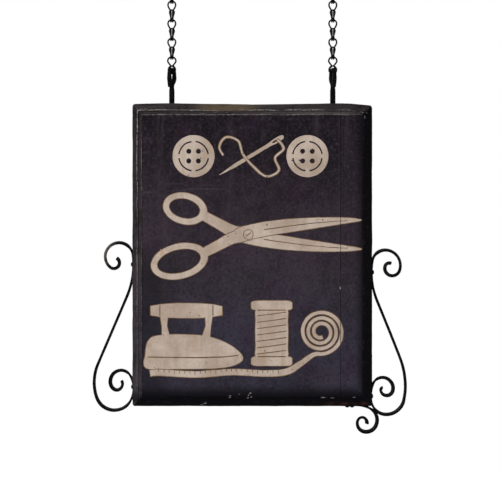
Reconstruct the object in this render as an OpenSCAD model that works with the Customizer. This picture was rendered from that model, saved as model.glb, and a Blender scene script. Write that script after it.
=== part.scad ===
// Hanging trade sign: a double-sided painted board on two chains of folded
// wire links, with forged scrolls at its sides.
// Millimetres, +Z up, the front looks along -Y. The origin lies midway between
// the two top eye bolts, on the face that they screw into.

/* [Board] */
// Width of the board over its moulded edge
board_w = 508; // [460:1:620]
// Height of the board over its moulded edge
board_h = 640; // [600:1:800]
// Thickness of the planks
plank_t = 24; // [20:0.5:25]
// Width of the narrow right-hand plank that shows inside the moulding
narrow_w = 46; // [30:1:70]
// Open joint between the two planks
plank_gap = 0.8; // [0.4:0.1:1.2]
// Radius of the rounded corners of the moulded edge
corner_r = 6; // [2:0.5:12]

/* [Moulding] */
// Width of the mitred edge strips, seen from the front
strip_w = 21.5; // [19:0.5:28]
// Thickness of the strips at their inner fillet
strip_t = 29; // [27:0.5:34]
// Thickness of the strips at their outer edge
edge_t = 17.4; // [16.4:0.2:20]
// Width of the rounded outer member of the moulding
ovolo_w = 9.5; // [6:0.5:11]
// Width of the flat fillet beside the field
fillet_w = 1.2; // [0.6:0.1:2]
// Width of the bevel that drops from the fillet to the field
bevel_w = 1.8; // [0.8:0.1:2.4]
// Thickness of the tongues that join planks and strips
tongue_t = 8; // [6:0.5:10]
// Length of the tongues
tongue_len = 8; // [6:0.5:9]

/* [Scrolls] */
// Height of the left scroll, on the iron's centre line
left_scroll_h = 353.5; // [345:0.5:360]
// Height of the right scroll, on the iron's centre line
right_scroll_h = 350.3; // [342:0.1:356]
// Height of the corner scroll, on the iron's centre line
corner_scroll_h = 56.7; // [54:0.1:60]
// Thickness of the scroll iron
iron_t = 4.8; // [4:0.1:5.2]
// Width of the scroll iron, front to back
iron_w = 12; // [9:0.5:12.4]
// Diameter of the scroll screws
screw_d = 4.5; // [3.5:0.1:5.5]
// Length of the scroll screws under the head
screw_len = 34; // [26:1:45]
// Diameter of the round screw heads
screw_head_d = 9.4; // [8:0.2:11]
// Length of the straight foot of the corner scroll under the board
foot_len = 25; // [22:1:40]

/* [Eye bolts] */
// Distance between the two chains
hang_w = 342; // [300:1:348]
// Diameter of the lower eye bolts' shank
shank_d = 11; // [9:0.5:12]
// Diameter of the upper eye bolts' shank
hanger_d = 12.7; // [12.2:0.1:14]
// Depth of the lower shanks in the board
shank_in = 60; // [45:1:90]
// Length of the upper shanks above the origin
shank_out = 55; // [40:1:90]
// Diameter of the drawn-down rod of the eye
eye_rod_d = 9; // [8:0.1:9]
// Radius of the eye's arch on the rod's centre line
eye_r = 9; // [9:0.1:9.6]
// Straight length of shank above the board
stem_h = 30; // [20:1:50]
// Straight length of shank below the origin on the upper bolts
top_stem_h = 10; // [8:1:30]
// How far the left lower eye is turned about its shank
left_turn = 58; // [45:1:62]
// How far the right lower eye is turned about its shank
right_turn = -70; // [-72:1:-55]

/* [Chain] */
// Number of links in each chain
link_count = 5; // [5:1:5]
// Diameter of the chain wire
wire_d = 3.3; // [2.8:0.1:3.4]
// Distance from one link to the next
link_pitch = 39.5; // [38:0.5:46]
// Outer width of a link's round eye
ring_w = 19.5; // [19:0.5:22]
// Distance between the two wires of a link's neck, centre to centre
neck_w = 3.9; // [3.7:0.05:4]
// Distance from the last link's ring to the arch of the lower eye
last_pitch = 27.5; // [27:0.5:32]

/* [Fits] */
// Running clearance between a link and what it hooks
link_gap = 0.3; // [0.2:0.05:0.5]
// Clearance round the scroll iron in its housing
housing_gap = 0.2; // [0.1:0.05:0.4]
// Radial clearance of a screw or shank in its hole
hole_gap = 0.1; // [0.05:0.05:0.3]
// Clearance at the end of a tongue in its groove
tongue_gap = 0.2; // [0.1:0.05:0.5]

/* [Hidden] */
$fn = 36;

wood = "#2b2529";
iron = "#1d1c1c";
wire = "#26231f";

// Scroll outlines. A bend is [radius, turn] of the iron's centre line, and
// [0, length] is a straight. A touch is where the iron lies in the board's side:
// [outward from the side, up from the bottom edge]. Headings count from outward
// towards up, so that a scroll runs up from its touch at 90 and down at 270.
// The radii and lengths are written for scrolls 353.5, 350.3 and 56.7 mm high.
left_size = left_scroll_h / 353.5;
right_size = right_scroll_h / 350.3;
corner_size = corner_scroll_h / 56.7;
left_touch = [-1.3, 300.3] * left_size;
left_up = sized(left_size, [[176.6, -6.5], [29.4, -135], [29.5, -88.8], [11.9, -120], [11.9, -72.4]]);
left_down = sized(left_size, [
    [176.6, 23.2], [0, 153], [94.8, -46.1], [37.7, -124.8],
    [56, -59.9], [23.2, -207.8], [9.1, -61.3], [12.8, -99.4]
]);
right_touch = [-0.6, 283.6] * right_size;
right_up = sized(right_size, [[162.2, -9.7], [24.5, -77.6], [32.9, -114], [15.9, -177], [9.1, -102.9]]);
right_down = sized(right_size, [
    [162.2, 22.2], [0, 134.2], [150.7, -34.1], [36.6, -163.8],
    [71.2, -25], [23.2, -177.6], [13, -153.7], [6, -83.7]
]);
corner_foot = [-32.2, 1.6] * corner_size;
corner_bends = sized(corner_size, [
    [57.7, -35.7], [26.7, -88.7], [20.9, -154], [9.9, -120.7], [13.7, -59]
]);
arc_step = 6;
arc_chord = 12;
// Share of the full thickness at a distance from a free end, both counted in
// thicknesses: the iron is drawn thin behind a blunt end
end_form = [[0, 1], [1.04, 1], [2.3, 0.72], [12.5, 1]];

// Shape of a link
ring_r = (ring_w - wire_d) / 2;
side_r = 16;
side_turn = 26;
neck_r = 18;
bead_d = wire_d * 1.04;
neck_x = neck_w / 2;
// The ring's wire falls away at both sides of its top, so the fold hangs lower
ring_fall = ring_r - sqrt(pow(ring_r - wire_d - link_gap, 2) - pow(neck_x, 2));
fold_r = max(ring_fall, wire_d + link_gap) + 0.1;
front_lean = asin(fold_r / link_pitch);
back_lean = 8;
end_r = 3.2;
end_turn = 10;
flare_r = 12;
back_run = 6.9;

// Shape of the last link, whose fold is turned to catch the eye bolt
last_side_turn = 20;
last_lean = 12;
last_ring_lean = 4;
last_end_r = 3.4;
last_flare_r = 8;
last_run = 1.6;
last_ease = 3.4;
// The two wires sit inside the arch and keep room to tip in it
last_fold_r = eye_r - sqrt(pow(eye_r - eye_rod_d / 2 - wire_d / 2 - link_gap, 2) - pow(neck_x, 2)) + 0.4;

// Shape of an eye
kink_r = 16;
kink_turn = acos(1 - eye_r / (2 * kink_r));
taper_h = 6;
eye_run = 6.3;
eye_end = 1.2;
eye_top = taper_h + 2 * kink_r * sin(kink_turn) + eye_run + eye_r;
eye_bead_d = eye_rod_d * 1.03;
shank_tip_h = 8;

// Heights down the sign
top_arch_z = -top_stem_h - eye_top;
ring_z = top_arch_z + eye_rod_d / 2 + wire_d / 2 + link_gap;
last_ring_z = ring_z - (link_count - 1) * link_pitch;
arch_z = last_ring_z - last_pitch;
board_top = arch_z - eye_top - stem_h;
board_bottom = board_top - board_h;

field_w = board_w - 2 * strip_w;
joint_x = field_w / 2 - narrow_w;
hole_d = screw_d + 2 * hole_gap;
bore_d = shank_d + 2 * hole_gap;
screw_head_h = 2.8;
head_lift = 0.3;
end_cut = 0.2;

// Matrices that carry one piece of wire to the end of the one before it
function shift(v) = [[1, 0, 0, v[0]], [0, 1, 0, v[1]], [0, 0, 1, v[2]], [0, 0, 0, 1]];
function about_y(a) = [[cos(a), 0, sin(a), 0], [0, 1, 0, 0], [-sin(a), 0, cos(a), 0], [0, 0, 0, 1]];
function about_z(a) = [[cos(a), -sin(a), 0, 0], [sin(a), cos(a), 0, 0], [0, 0, 1, 0], [0, 0, 0, 1]];
function bend_end(r, a) = shift([0, 0, -sign(a) * r]) * about_y(a) * shift([0, 0, sign(a) * r]);
function fold_end(r, a) = shift([0, r, 0]) * about_z(a) * shift([0, -r, 0]);
function step_end(s) =
    s[0] == "run" ? shift([s[1], 0, 0]) :
    s[0] == "bend" ? bend_end(s[1], s[2]) : fold_end(s[1], s[2]);
function places(steps, i = 0, at = shift([0, 0, 0])) =
    i == len(steps) ? [] : concat([at], places(steps, i + 1, at * step_end(steps[i])));
function backwards(steps) = [for (i = [len(steps) - 1:-1:0]) steps[i]];

function sized(k, bends) = [for (b = bends) [b[0] * k, b[0] == 0 ? b[1] * k : b[1]]];

// Points along a scroll's centre line: [outward, up, heading, length so far]
function bend_points(p, b) =
    b[0] == 0 ? [[p[0] + b[1] * cos(p[2]), p[1] + b[1] * sin(p[2]), p[2], p[3] + b[1]]] :
    let (len_b = b[0] * abs(b[1]) * PI / 180, n = ceil(max(abs(b[1]) / arc_step, len_b / arc_chord)),
        s = sign(b[1]), c = [p[0] - s * b[0] * sin(p[2]), p[1] + s * b[0] * cos(p[2])])
    [for (i = [1:n]) let (h = p[2] + b[1] * i / n)
        [c[0] + s * b[0] * sin(h), c[1] - s * b[0] * cos(h), h, p[3] + len_b * i / n]];
function end_of(line) = line[len(line) - 1];
function scroll_line(p, bends, i = 0) =
    i == len(bends) ? [p] :
    let (q = bend_points(p, bends[i]))
    concat([p], [for (k = [0:1:len(q) - 2]) q[k]], scroll_line(end_of(q), bends, i + 1));
function both_ways(touch, up, down) =
    let (u = scroll_line([touch[0], touch[1], 90, 0], up))
    concat(
        [for (i = [len(u) - 1:-1:1]) [u[i][0], u[i][1], u[i][2] + 180, -u[i][3]]],
        scroll_line([touch[0], touch[1], 270, 0], down)
    );
// Where the lower curl comes back to the board's side and heads straight up
function second_touch(p, bends, i = 0) =
    bends[i][0] > 0 && p[2] + bends[i][1] < 90
        ? end_of(bend_points(p, [bends[i][0], 90 - p[2]]))
        : second_touch(end_of(bend_points(p, bends[i])), bends, i + 1);

// The outline of a band t thick along a line whose first end may be a plain foot
function band(line, t, foot = false) =
    let (
        n = len(line),
        from_start = [for (p = line) foot ? end_form[3][0] * iron_t : p[3] - line[0][3]],
        half = [for (i = [0:n - 1]) t / 2 * lookup(
            min(from_start[i], line[n - 1][3] - line[i][3]) / iron_t, end_form
        )]
    )
    concat(
        [for (i = [0:n - 1]) let (p = line[i])
            [p[0] - half[i] * sin(p[2]), p[1] + half[i] * cos(p[2])]],
        [for (i = [n - 1:-1:0]) let (p = line[i])
            [p[0] + half[i] * sin(p[2]), p[1] - half[i] * cos(p[2])]]
    );

left_line = both_ways(left_touch, left_up, left_down);
right_line = both_ways(right_touch, right_up, right_down);
corner_line = scroll_line(
    [corner_foot[0] - foot_len, corner_foot[1], 0, 0],
    concat([[0, foot_len]], corner_bends)
);
left_second = second_touch([left_touch[0], left_touch[1], 270, 0], left_down);
right_second = second_touch([right_touch[0], right_touch[1], 270, 0], right_down);

// Board

module rounded_board(h) {
    rotate([90, 0, 0]) linear_extrude(h, center = true)
        translate([-board_w / 2, board_bottom]) difference() {
            square([board_w, board_h]);
            for (x = [0, 1], z = [0, 1])
                translate([x * board_w, z * board_h]) mirror([x, 0]) mirror([0, z]) difference() {
                    translate([-1, -1]) square(corner_r + 1);
                    translate([corner_r, corner_r]) circle(corner_r);
                }
        }
}

// Half of the moulding's section: [in from the outer edge, out from the middle]
function moulding_half() =
    let (
        shoulder = strip_t / 2 - 1.5,
        cove_w = strip_w - ovolo_w - fillet_w - bevel_w,
        cove_y = shoulder - 0.8
    )
    concat(
        [for (a = [0:15:90]) [ovolo_w * (1 - cos(a)), edge_t / 2 + (shoulder - edge_t / 2) * sin(a)]],
        [for (a = [0:15:90]) [ovolo_w + cove_w * sin(a), cove_y + (strip_t / 2 - cove_y) * (1 - cos(a))]],
        [[strip_w - bevel_w, strip_t / 2], [strip_w, plank_t / 2 + 0.4]]
    );

module moulding_section() {
    half = moulding_half();
    difference() {
        polygon(concat(half, [for (p = backwards(half)) [p[0], -p[1]]]));
        translate([strip_w - tongue_len - tongue_gap, -tongue_t / 2])
            square([tongue_len + tongue_gap + 1, tongue_t]);
    }
}

// A strip along X with its outer edge at Z = 0 and its field side up
module mitred_strip(length) {
    intersection() {
        rotate([90, 0, 90]) linear_extrude(length, center = true)
            rotate(90) mirror([0, 1]) moulding_section();
        rotate([90, 0, 0]) linear_extrude(strip_t + 2, center = true) polygon([
            [-length / 2, 0], [length / 2, 0],
            [length / 2 - strip_w, strip_w], [-length / 2 + strip_w, strip_w]
        ]);
    }
}

// The shape of a scroll as a prism, at the board's side that x points to
module scroll_prism(line, x, t, w, foot = false) {
    translate([x * board_w / 2, 0, board_bottom]) mirror([x > 0 ? 0 : 1, 0, 0])
        rotate([90, 0, 0]) linear_extrude(w, center = true) polygon(band(line, t, foot));
}

module housings() {
    t = iron_t + 2 * housing_gap;
    w = iron_w + 2 * housing_gap;
    scroll_prism(left_line, -1, t, w);
    scroll_prism(right_line, 1, t, w);
    scroll_prism(corner_line, 1, t, w, true);
}

// Runs its children along every scroll screw, +Z out of the head
module at_screws() {
    for (s = [[-1, left_touch], [-1, left_second], [1, right_touch], [1, right_second]])
        translate([s[0] * (board_w / 2 + s[1][0]), 0, board_bottom + s[1][1]])
            rotate([0, s[0] * 90, 0]) children();
    for (k = [0.4, 0.8])
        translate([
            board_w / 2 + corner_foot[0] - foot_len * k, 0, board_bottom + corner_foot[1]
        ]) rotate([180, 0, 0]) children();
}

module screw_holes() {
    at_screws() translate([0, 0, -screw_len - 2]) cylinder(h = screw_len + 8, d = hole_d);
}

module shank_bores() {
    for (x = [-1, 1])
        translate([x * hang_w / 2, 0, board_top - shank_in - 1])
            cylinder(h = shank_in + 5, d = bore_d);
}

module strip(angle, x, z, length) {
    color(wood) difference() {
        intersection() {
            translate([x, 0, z]) rotate([0, angle, 0]) mitred_strip(length);
            rounded_board(strip_t + 2);
        }
        housings();
        screw_holes();
        shank_bores();
    }
}

module top_strip() { strip(180, 0, board_top, board_w); }
module bottom_strip() { strip(0, 0, board_bottom, board_w); }
module left_strip() { strip(90, -board_w / 2, (board_top + board_bottom) / 2, board_h); }
module right_strip() { strip(-90, board_w / 2, (board_top + board_bottom) / 2, board_h); }

// A plank from x0 to x1 with tongues into the strips above and below
module plank(x0, x1) {
    translate([x0, -plank_t / 2, board_bottom + strip_w])
        cube([x1 - x0, plank_t, board_h - 2 * strip_w]);
    translate([x0, -tongue_t / 2, board_bottom + strip_w - tongue_len])
        cube([x1 - x0, tongue_t, board_h - 2 * strip_w + 2 * tongue_len]);
}

// A tongue along the plank's side, from x0 to x1
module side_tongue(x0, x1) {
    translate([x0, -tongue_t / 2, board_bottom + strip_w - tongue_len])
        cube([x1 - x0, tongue_t, board_h - 2 * strip_w + 2 * tongue_len]);
}

module wide_plank() {
    color(wood) difference() {
        union() {
            plank(-field_w / 2, joint_x);
            side_tongue(-field_w / 2 - tongue_len, -field_w / 2 + 1);
        }
        side_tongue(joint_x - tongue_len - tongue_gap, joint_x + 1);
        screw_holes();
        shank_bores();
    }
}

module narrow_plank() {
    color(wood) difference() {
        union() {
            plank(joint_x + plank_gap, field_w / 2);
            side_tongue(joint_x - tongue_len + plank_gap, field_w / 2 + tongue_len);
        }
        screw_holes();
        shank_bores();
    }
}

// Scrolls

module scroll(line, x, foot = false) {
    color(iron) difference() {
        scroll_prism(line, x, iron_t, iron_w, foot);
        screw_holes();
    }
}

module left_scroll() { scroll(left_line, -1); }
module right_scroll() { scroll(right_line, 1); }
module corner_scroll() { scroll(corner_line, 1, true); }

module scroll_screws() {
    color(iron) at_screws() {
        translate([0, 0, iron_t / 2 + head_lift]) {
            translate([0, 0, -screw_len]) cylinder(h = screw_len + 0.1, d = screw_d);
            intersection() {
                cylinder(h = screw_head_h, d = screw_head_d);
                translate([0, 0, screw_head_h - screw_head_d * 0.62]) sphere(d = screw_head_d * 1.24);
            }
        }
        translate([0, 0, iron_t / 2 + head_lift - screw_len])
            mirror([0, 0, 1]) cylinder(h = screw_d, d1 = screw_d, d2 = 0.8);
    }
}

// Eye bolts

// One piece of round rod that starts at the origin and heads along +X. Both of
// its ends stop just short, inside the small swellings that rod_path() sets there
module rod_piece(s, d) {
    cut = end_cut / s[1] * 180 / PI;
    if (s[0] == "run") translate([end_cut, 0, 0]) rotate([0, 90, 0])
        cylinder(h = s[1] - 2 * end_cut, d = d);
    if (s[0] == "bend") translate([0, 0, -sign(s[2]) * s[1]]) rotate([90, 0, 0])
        rotate([0, 0, (s[2] > 0 ? 90 - s[2] : -90) + cut])
            rotate_extrude(angle = abs(s[2]) - 2 * cut) translate([s[1], 0]) circle(d = d);
    if (s[0] == "fold") translate([0, s[1], 0]) rotate([0, 0, cut - 90])
        rotate_extrude(angle = s[2] - 2 * cut) translate([s[1], 0]) circle(d = d);
}

// A ball with its poles along the rod, where they are hidden
module swelling(d) {
    rotate([0, 90, 0]) rotate(37) sphere(d = d);
}

// Round rod along a list of steps
module rod_path(steps, d, bead) {
    at = places(steps);
    for (i = [0:len(steps) - 1]) multmatrix(at[i]) {
        swelling(bead);
        rod_piece(steps[i], d);
    }
}

// Shank from -inside to stem, and the forged eye above it, in the XZ plane
module eye_bolt(d, inside, stem) {
    translate([0, 0, -inside + shank_tip_h]) cylinder(h = inside - shank_tip_h + stem, d = d);
    translate([0, 0, -inside]) cylinder(h = shank_tip_h, d1 = d * 0.45, d2 = d);
    translate([0, 0, stem]) cylinder(h = taper_h, d1 = d, d2 = eye_rod_d);
    translate([0, 0, stem + taper_h]) rotate([0, -90, 0]) rod_path([
        ["bend", kink_r, kink_turn],
        ["bend", kink_r, -kink_turn],
        ["run", eye_run],
        ["bend", eye_r, -180],
        ["run", eye_top - taper_h - eye_r - eye_end]
    ], eye_rod_d, eye_bead_d);
}

module left_eye_bolt() {
    color(iron) translate([-hang_w / 2, 0, board_top]) rotate([0, 0, left_turn])
        eye_bolt(shank_d, shank_in, stem_h);
}
module right_eye_bolt() {
    color(iron) translate([hang_w / 2, 0, board_top]) rotate([0, 0, right_turn + 180])
        eye_bolt(shank_d, shank_in, stem_h);
}
module hanger(x) {
    color(iron) translate([x * hang_w / 2, 0, 0]) mirror([0, 0, 1]) rotate([0, 0, 90])
        eye_bolt(hanger_d, shank_out, top_stem_h);
}
module left_hanger() { hanger(-1); }
module right_hanger() { hanger(1); }

// Chain links

// A link is one closed loop of wire: a round eye that narrows to a neck of two
// wires, folded under the next link's eye and back up behind it
link_half = let (
    side_x = ring_r - side_r * (1 - cos(side_turn)),
    slope = (side_x - neck_x - neck_r * (1 - cos(side_turn))) / sin(side_turn),
    tangent = sqrt(pow(link_pitch, 2) - pow(fold_r, 2)),
    front_run = tangent - ring_r - (side_r + neck_r) * sin(side_turn) - slope * cos(side_turn),
    flare = (end_r * cos(end_turn) - neck_x - flare_r * (1 - cos(end_turn))) / sin(end_turn)
) [
    ["bend", ring_r, 90],
    ["bend", side_r, side_turn],
    ["run", slope],
    ["bend", neck_r, -side_turn],
    ["run", front_run],
    ["fold", fold_r, 180 + front_lean + back_lean],
    ["run", back_run],
    ["bend", flare_r, -end_turn],
    ["run", flare],
    ["bend", end_r, 90 + end_turn]
];

module folded_link() {
    rotate([-front_lean, 0, 0])
        rod_path(concat(link_half, backwards(link_half)), wire_d, bead_d);
}

// Frame at p that heads along u and turns towards v
function heading(p, u, v) =
    let (x = u / norm(u), s = v - (v * x) * x, y = s / norm(s), z = cross(x, y))
    [[x[0], y[0], z[0], p[0]], [x[1], y[1], z[1], p[1]], [x[2], y[2], z[2], p[2]], [0, 0, 0, 1]];
function angle_between(u, v) = acos(u * v / (norm(u) * norm(v)));

// Wire that leaves a along u and reaches b along v, straight between two eased corners
module wire_between(a, u, b, v) {
    ease = min(last_ease, 0.21 * norm(b - a));
    a2 = a + ease * u / norm(u);
    b2 = b - ease * v / norm(v);
    w = b2 - a2;
    turn_a = angle_between(u, w);
    turn_b = angle_between(w, v);
    multmatrix(heading(a, u, w)) rod_path([
        ["fold", ease / tan(turn_a / 2), turn_a],
        ["run", norm(w) - 2 * ease]
    ], wire_d, bead_d);
    multmatrix(heading(b2 - ease * w / norm(w), w, v))
        rod_path([["fold", ease / tan(turn_b / 2), turn_b]], wire_d, bead_d);
}

// The last link: its neck is twisted by turn, so that the fold catches the eye
module last_link(turn) {
    side_x = ring_r - side_r * (1 - cos(last_side_turn));
    side_z = -ring_r - side_r * sin(last_side_turn);
    tilt = last_ring_lean;
    side = [for (m = [-1, 1]) [m * side_x, side_z * sin(tilt), side_z * cos(tilt)]];
    side_way = [for (m = [-1, 1]) [
        -m * sin(last_side_turn), -cos(last_side_turn) * sin(tilt), -cos(last_side_turn) * cos(tilt)
    ]];
    tip_y = -last_fold_r * cos(last_lean) + last_run * sin(last_lean);
    tip_z = -last_pitch + last_fold_r * sin(last_lean) + last_run * cos(last_lean);
    tip = [for (m = [-1, 1]) [
        m * neck_x * cos(turn) - tip_y * sin(turn),
        m * neck_x * sin(turn) + tip_y * cos(turn),
        tip_z
    ]];
    tip_way = [sin(last_lean) * sin(turn), -sin(last_lean) * cos(turn), -cos(last_lean)];
    flare_turn = acos(1 - (last_end_r - neck_x) / (2 * last_flare_r));
    half = [
        ["run", last_run],
        ["fold", last_fold_r, 180 + last_lean],
        ["bend", last_flare_r, -flare_turn],
        ["bend", last_flare_r, flare_turn],
        ["bend", last_end_r, 90]
    ];
    rotate([-tilt, 0, 0]) translate([-side_x, 0, side_z]) rotate([0, -90 - last_side_turn, 0])
        rod_path([
            ["bend", side_r, last_side_turn],
            ["bend", ring_r, 180],
            ["bend", side_r, last_side_turn]
        ], wire_d, bead_d);
    wire_between(side[1], side_way[1], tip[1], tip_way);
    rotate([0, 0, turn]) translate([neck_x, tip_y, tip_z]) rotate([-last_lean, 0, 0])
        rotate([0, 90, 0]) rod_path(concat(half, backwards(half)), wire_d, bead_d);
    wire_between(tip[0], -tip_way, side[0], -side_way[0]);
}

module link(x, i) {
    color(wire) translate([x * hang_w / 2, 0, ring_z - (i - 1) * link_pitch])
        if (i < link_count) folded_link();
        else last_link(x < 0 ? left_turn : right_turn);
}

module left_link_1() { link(-1, 1); }
module left_link_2() { link(-1, 2); }
module left_link_3() { link(-1, 3); }
module left_link_4() { link(-1, 4); }
module left_link_5() { link(-1, 5); }
module right_link_1() { link(1, 1); }
module right_link_2() { link(1, 2); }
module right_link_3() { link(1, 3); }
module right_link_4() { link(1, 4); }
module right_link_5() { link(1, 5); }

wide_plank();
narrow_plank();
top_strip();
bottom_strip();
left_strip();
right_strip();
left_eye_bolt();
right_eye_bolt();
left_scroll();
right_scroll();
corner_scroll();
scroll_screws();
left_hanger();
right_hanger();
left_link_1();
left_link_2();
left_link_3();
left_link_4();
left_link_5();
right_link_1();
right_link_2();
right_link_3();
right_link_4();
right_link_5();
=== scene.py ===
# %% [markdown]
# # A hanging trade sign, dressed in Blender
#
# The sign is a black board with a moulded edge. It hangs on two chains of folded
# wire, and forged scrolls stand at its sides. The construction comes from CAD as a
# fixed frame: every piece there already has its place and its joint. Here each
# piece gets the surface that a hand left on it. Shapes that are right in the CAD
# model keep their meshes and get a material, and shapes that a smooth sweep draws
# better are drawn again in the same place.

# %% Load the frame
import math
import random

import bmesh
import bpy
import numpy as np
from mathutils import Matrix, Vector
from mathutils import noise as rough_noise
from mathutils.geometry import delaunay_2d_cdt


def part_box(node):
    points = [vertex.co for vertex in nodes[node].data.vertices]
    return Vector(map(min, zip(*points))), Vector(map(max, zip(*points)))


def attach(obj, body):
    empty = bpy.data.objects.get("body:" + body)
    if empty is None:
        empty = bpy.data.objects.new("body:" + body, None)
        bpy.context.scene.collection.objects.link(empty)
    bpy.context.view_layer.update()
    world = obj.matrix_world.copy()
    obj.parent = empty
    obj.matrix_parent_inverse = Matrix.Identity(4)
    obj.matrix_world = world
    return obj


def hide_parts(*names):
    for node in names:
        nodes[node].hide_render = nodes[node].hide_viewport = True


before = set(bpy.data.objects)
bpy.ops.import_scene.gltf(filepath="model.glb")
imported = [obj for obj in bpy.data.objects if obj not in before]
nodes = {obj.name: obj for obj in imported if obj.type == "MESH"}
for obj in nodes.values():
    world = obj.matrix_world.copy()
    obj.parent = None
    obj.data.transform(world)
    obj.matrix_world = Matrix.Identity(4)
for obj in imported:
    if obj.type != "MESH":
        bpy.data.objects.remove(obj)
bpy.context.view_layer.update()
MM = 0.001

# %% [markdown]
# ## Sizes that the dressing shares with the construction
#
# The sweeps below follow the same lines as the CAD solids, so they start from the
# same sizes, in millimetres. The board's box is read from the frame rather than
# typed again: the strips carry the outline, and the planks carry the field.

# %% Board levels
BOARD_TOP, BOARD_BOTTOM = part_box("top_strip")[1].z / MM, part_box("bottom_strip")[0].z / MM
BOARD_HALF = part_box("right_strip")[1].x / MM
STRIP_W = 21.5
FIELD_Y, STRIP_Y = 12.0, 14.3
NARROW_PLANK_W, JOINT_GAP = 46.0, 0.8
JOINT_X = BOARD_HALF - STRIP_W - NARROW_PLANK_W
HANG_X = 171.0
print(f"board from z {BOARD_TOP:.1f} to {BOARD_BOTTOM:.1f} mm, half width {BOARD_HALF:.1f} mm")

# %% [markdown]
# ## Camera
#
# The photograph looks straight at the board from about three metres, with the
# image centre a little below the board's middle. One pixel covers 2.125 mm at the
# board, so a frame of 500 pixels covers 1.0625 m there. The camera's angle follows
# from those two numbers, and nothing is shifted.

# %% Place the camera
PX, PHOTO_WIDTH = 2.125, 500
PHOTO_X0, PHOTO_Y0 = 252.3, -39.55
CAMERA_AWAY, FILM_WIDTH = 3000.0, 36.0


def photo_point(x, y):
    """The point in the board's plane that a pixel of the photograph shows, in mm."""
    return (x - PHOTO_X0) * PX, -(y - PHOTO_Y0) * PX


def into_scene(name, data):
    """A new object in the scene that shows data."""
    thing = bpy.data.objects.new(name, data)
    bpy.context.scene.collection.objects.link(thing)
    return thing


camera_data = bpy.data.cameras.new("sign_camera")
camera_data.sensor_fit = "HORIZONTAL"
camera_data.sensor_width = FILM_WIDTH
camera_data.lens = FILM_WIDTH * CAMERA_AWAY / (PHOTO_WIDTH * PX)
camera = into_scene("sign_camera", camera_data)
cx, cz = photo_point(PHOTO_WIDTH / 2, PHOTO_WIDTH / 2)
camera.location = (cx * MM, -CAMERA_AWAY * MM, cz * MM)
camera.rotation_euler = (math.radians(90), 0, 0)
bpy.context.scene.camera = camera
print(f"camera at {tuple(round(v, 3) for v in camera.location)}, lens {camera_data.lens:.1f} mm")

# %% [markdown]
# ## Light and floor
#
# A studio picture of a black board needs a large soft source at the upper left, so
# that the arrises catch a thin bright line, and a weaker one at the right. The
# world itself is a plain pale grey that fills the shadows. What the camera sees of
# it is white, and so is what polished metal mirrors. The floor lies well below the
# sign, pale and slightly rough, and keeps the sign's shadow.

# %% World
WORLD_FILL, WORLD_SEEN = 0.42, 1.0

world = bpy.data.worlds.new("pale_studio")
bpy.context.scene.world = world
world.use_nodes = True
wn, wl = world.node_tree.nodes, world.node_tree.links
wn.clear()
w_out, w_mix = wn.new("ShaderNodeOutputWorld"), wn.new("ShaderNodeMixShader")
w_path = wn.new("ShaderNodeLightPath")
seen = w_path.outputs["Is Camera Ray"]
for ray in ("Is Glossy Ray", "Is Transmission Ray"):
    either = wn.new("ShaderNodeMath")
    either.operation = "MAXIMUM"
    wl.new(seen, either.inputs[0])
    wl.new(w_path.outputs[ray], either.inputs[1])
    seen = either.outputs[0]
wl.new(seen, w_mix.inputs["Fac"])
for socket, strength in ((1, WORLD_FILL), (2, WORLD_SEEN)):
    glow = wn.new("ShaderNodeBackground")
    glow.inputs["Color"].default_value = (1, 1, 1, 1)
    glow.inputs["Strength"].default_value = strength
    wl.new(glow.outputs[0], w_mix.inputs[socket])
wl.new(w_mix.outputs[0], w_out.inputs["Surface"])
print(f"world: {WORLD_FILL} on the sign, {WORLD_SEEN} to the camera")


# %% Lamps
SIGN_MIDDLE = Vector((0, 0, -0.6))


def soft_lamp(name, place, side, watts):
    """A square lamp, side metres wide, that looks at the sign."""
    data = bpy.data.lights.new(name, "AREA")
    data.shape = "RECTANGLE"
    data.size = data.size_y = side
    data.energy = watts
    lamp = into_scene(name, data)
    lamp.location = place
    lamp.rotation_euler = (SIGN_MIDDLE - Vector(place)).to_track_quat("-Z", "Y").to_euler()
    print(f"{name}: {watts} W, {side} m wide")


soft_lamp("key_upper_left", (-2.2, -2.4, 1.2), 1.6, 72)
soft_lamp("fill_right", (2.6, -2.2, -0.2), 2.0, 9)
soft_lamp("back_left", (-1.8, 2.6, 0.8), 1.6, 40)

# %% Floor
FLOOR_Z, FLOOR_HALF = -1.75, 40.0
FLOOR_GLOW, GLOW_SHARE = 1.075, 0.90


def floor_material():
    """Pale paint that the camera sees as nearly white, with the sign's shadow left in it."""
    mat = bpy.data.materials.new("pale_floor")
    mat.use_nodes = True
    n, l = mat.node_tree.nodes, mat.node_tree.links
    bsdf = n["Principled BSDF"]
    bsdf.inputs["Base Color"].default_value = (0.86, 0.86, 0.86, 1)
    bsdf.inputs["Roughness"].default_value = 0.8
    white, path = n.new("ShaderNodeEmission"), n.new("ShaderNodeLightPath")
    white.inputs["Strength"].default_value = FLOOR_GLOW
    share, mix = n.new("ShaderNodeMath"), n.new("ShaderNodeMixShader")
    share.operation = "MULTIPLY"
    share.inputs[1].default_value = GLOW_SHARE
    l.new(path.outputs["Is Camera Ray"], share.inputs[0])
    l.new(share.outputs[0], mix.inputs["Fac"])
    l.new(bsdf.outputs[0], mix.inputs[1])
    l.new(white.outputs[0], mix.inputs[2])
    l.new(mix.outputs[0], n["Material Output"].inputs["Surface"])
    return mat


floor_mesh = bpy.data.meshes.new("floor")
corners = [(sx * FLOOR_HALF, sy * FLOOR_HALF, FLOOR_Z) for sx, sy in ((-1, -1), (1, -1), (1, 1), (-1, 1))]
floor_mesh.from_pydata(corners, [], [(0, 1, 2, 3)])
floor_mesh.materials.append(floor_material())
into_scene("floor", floor_mesh)
print("floor at z", FLOOR_Z)

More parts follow.
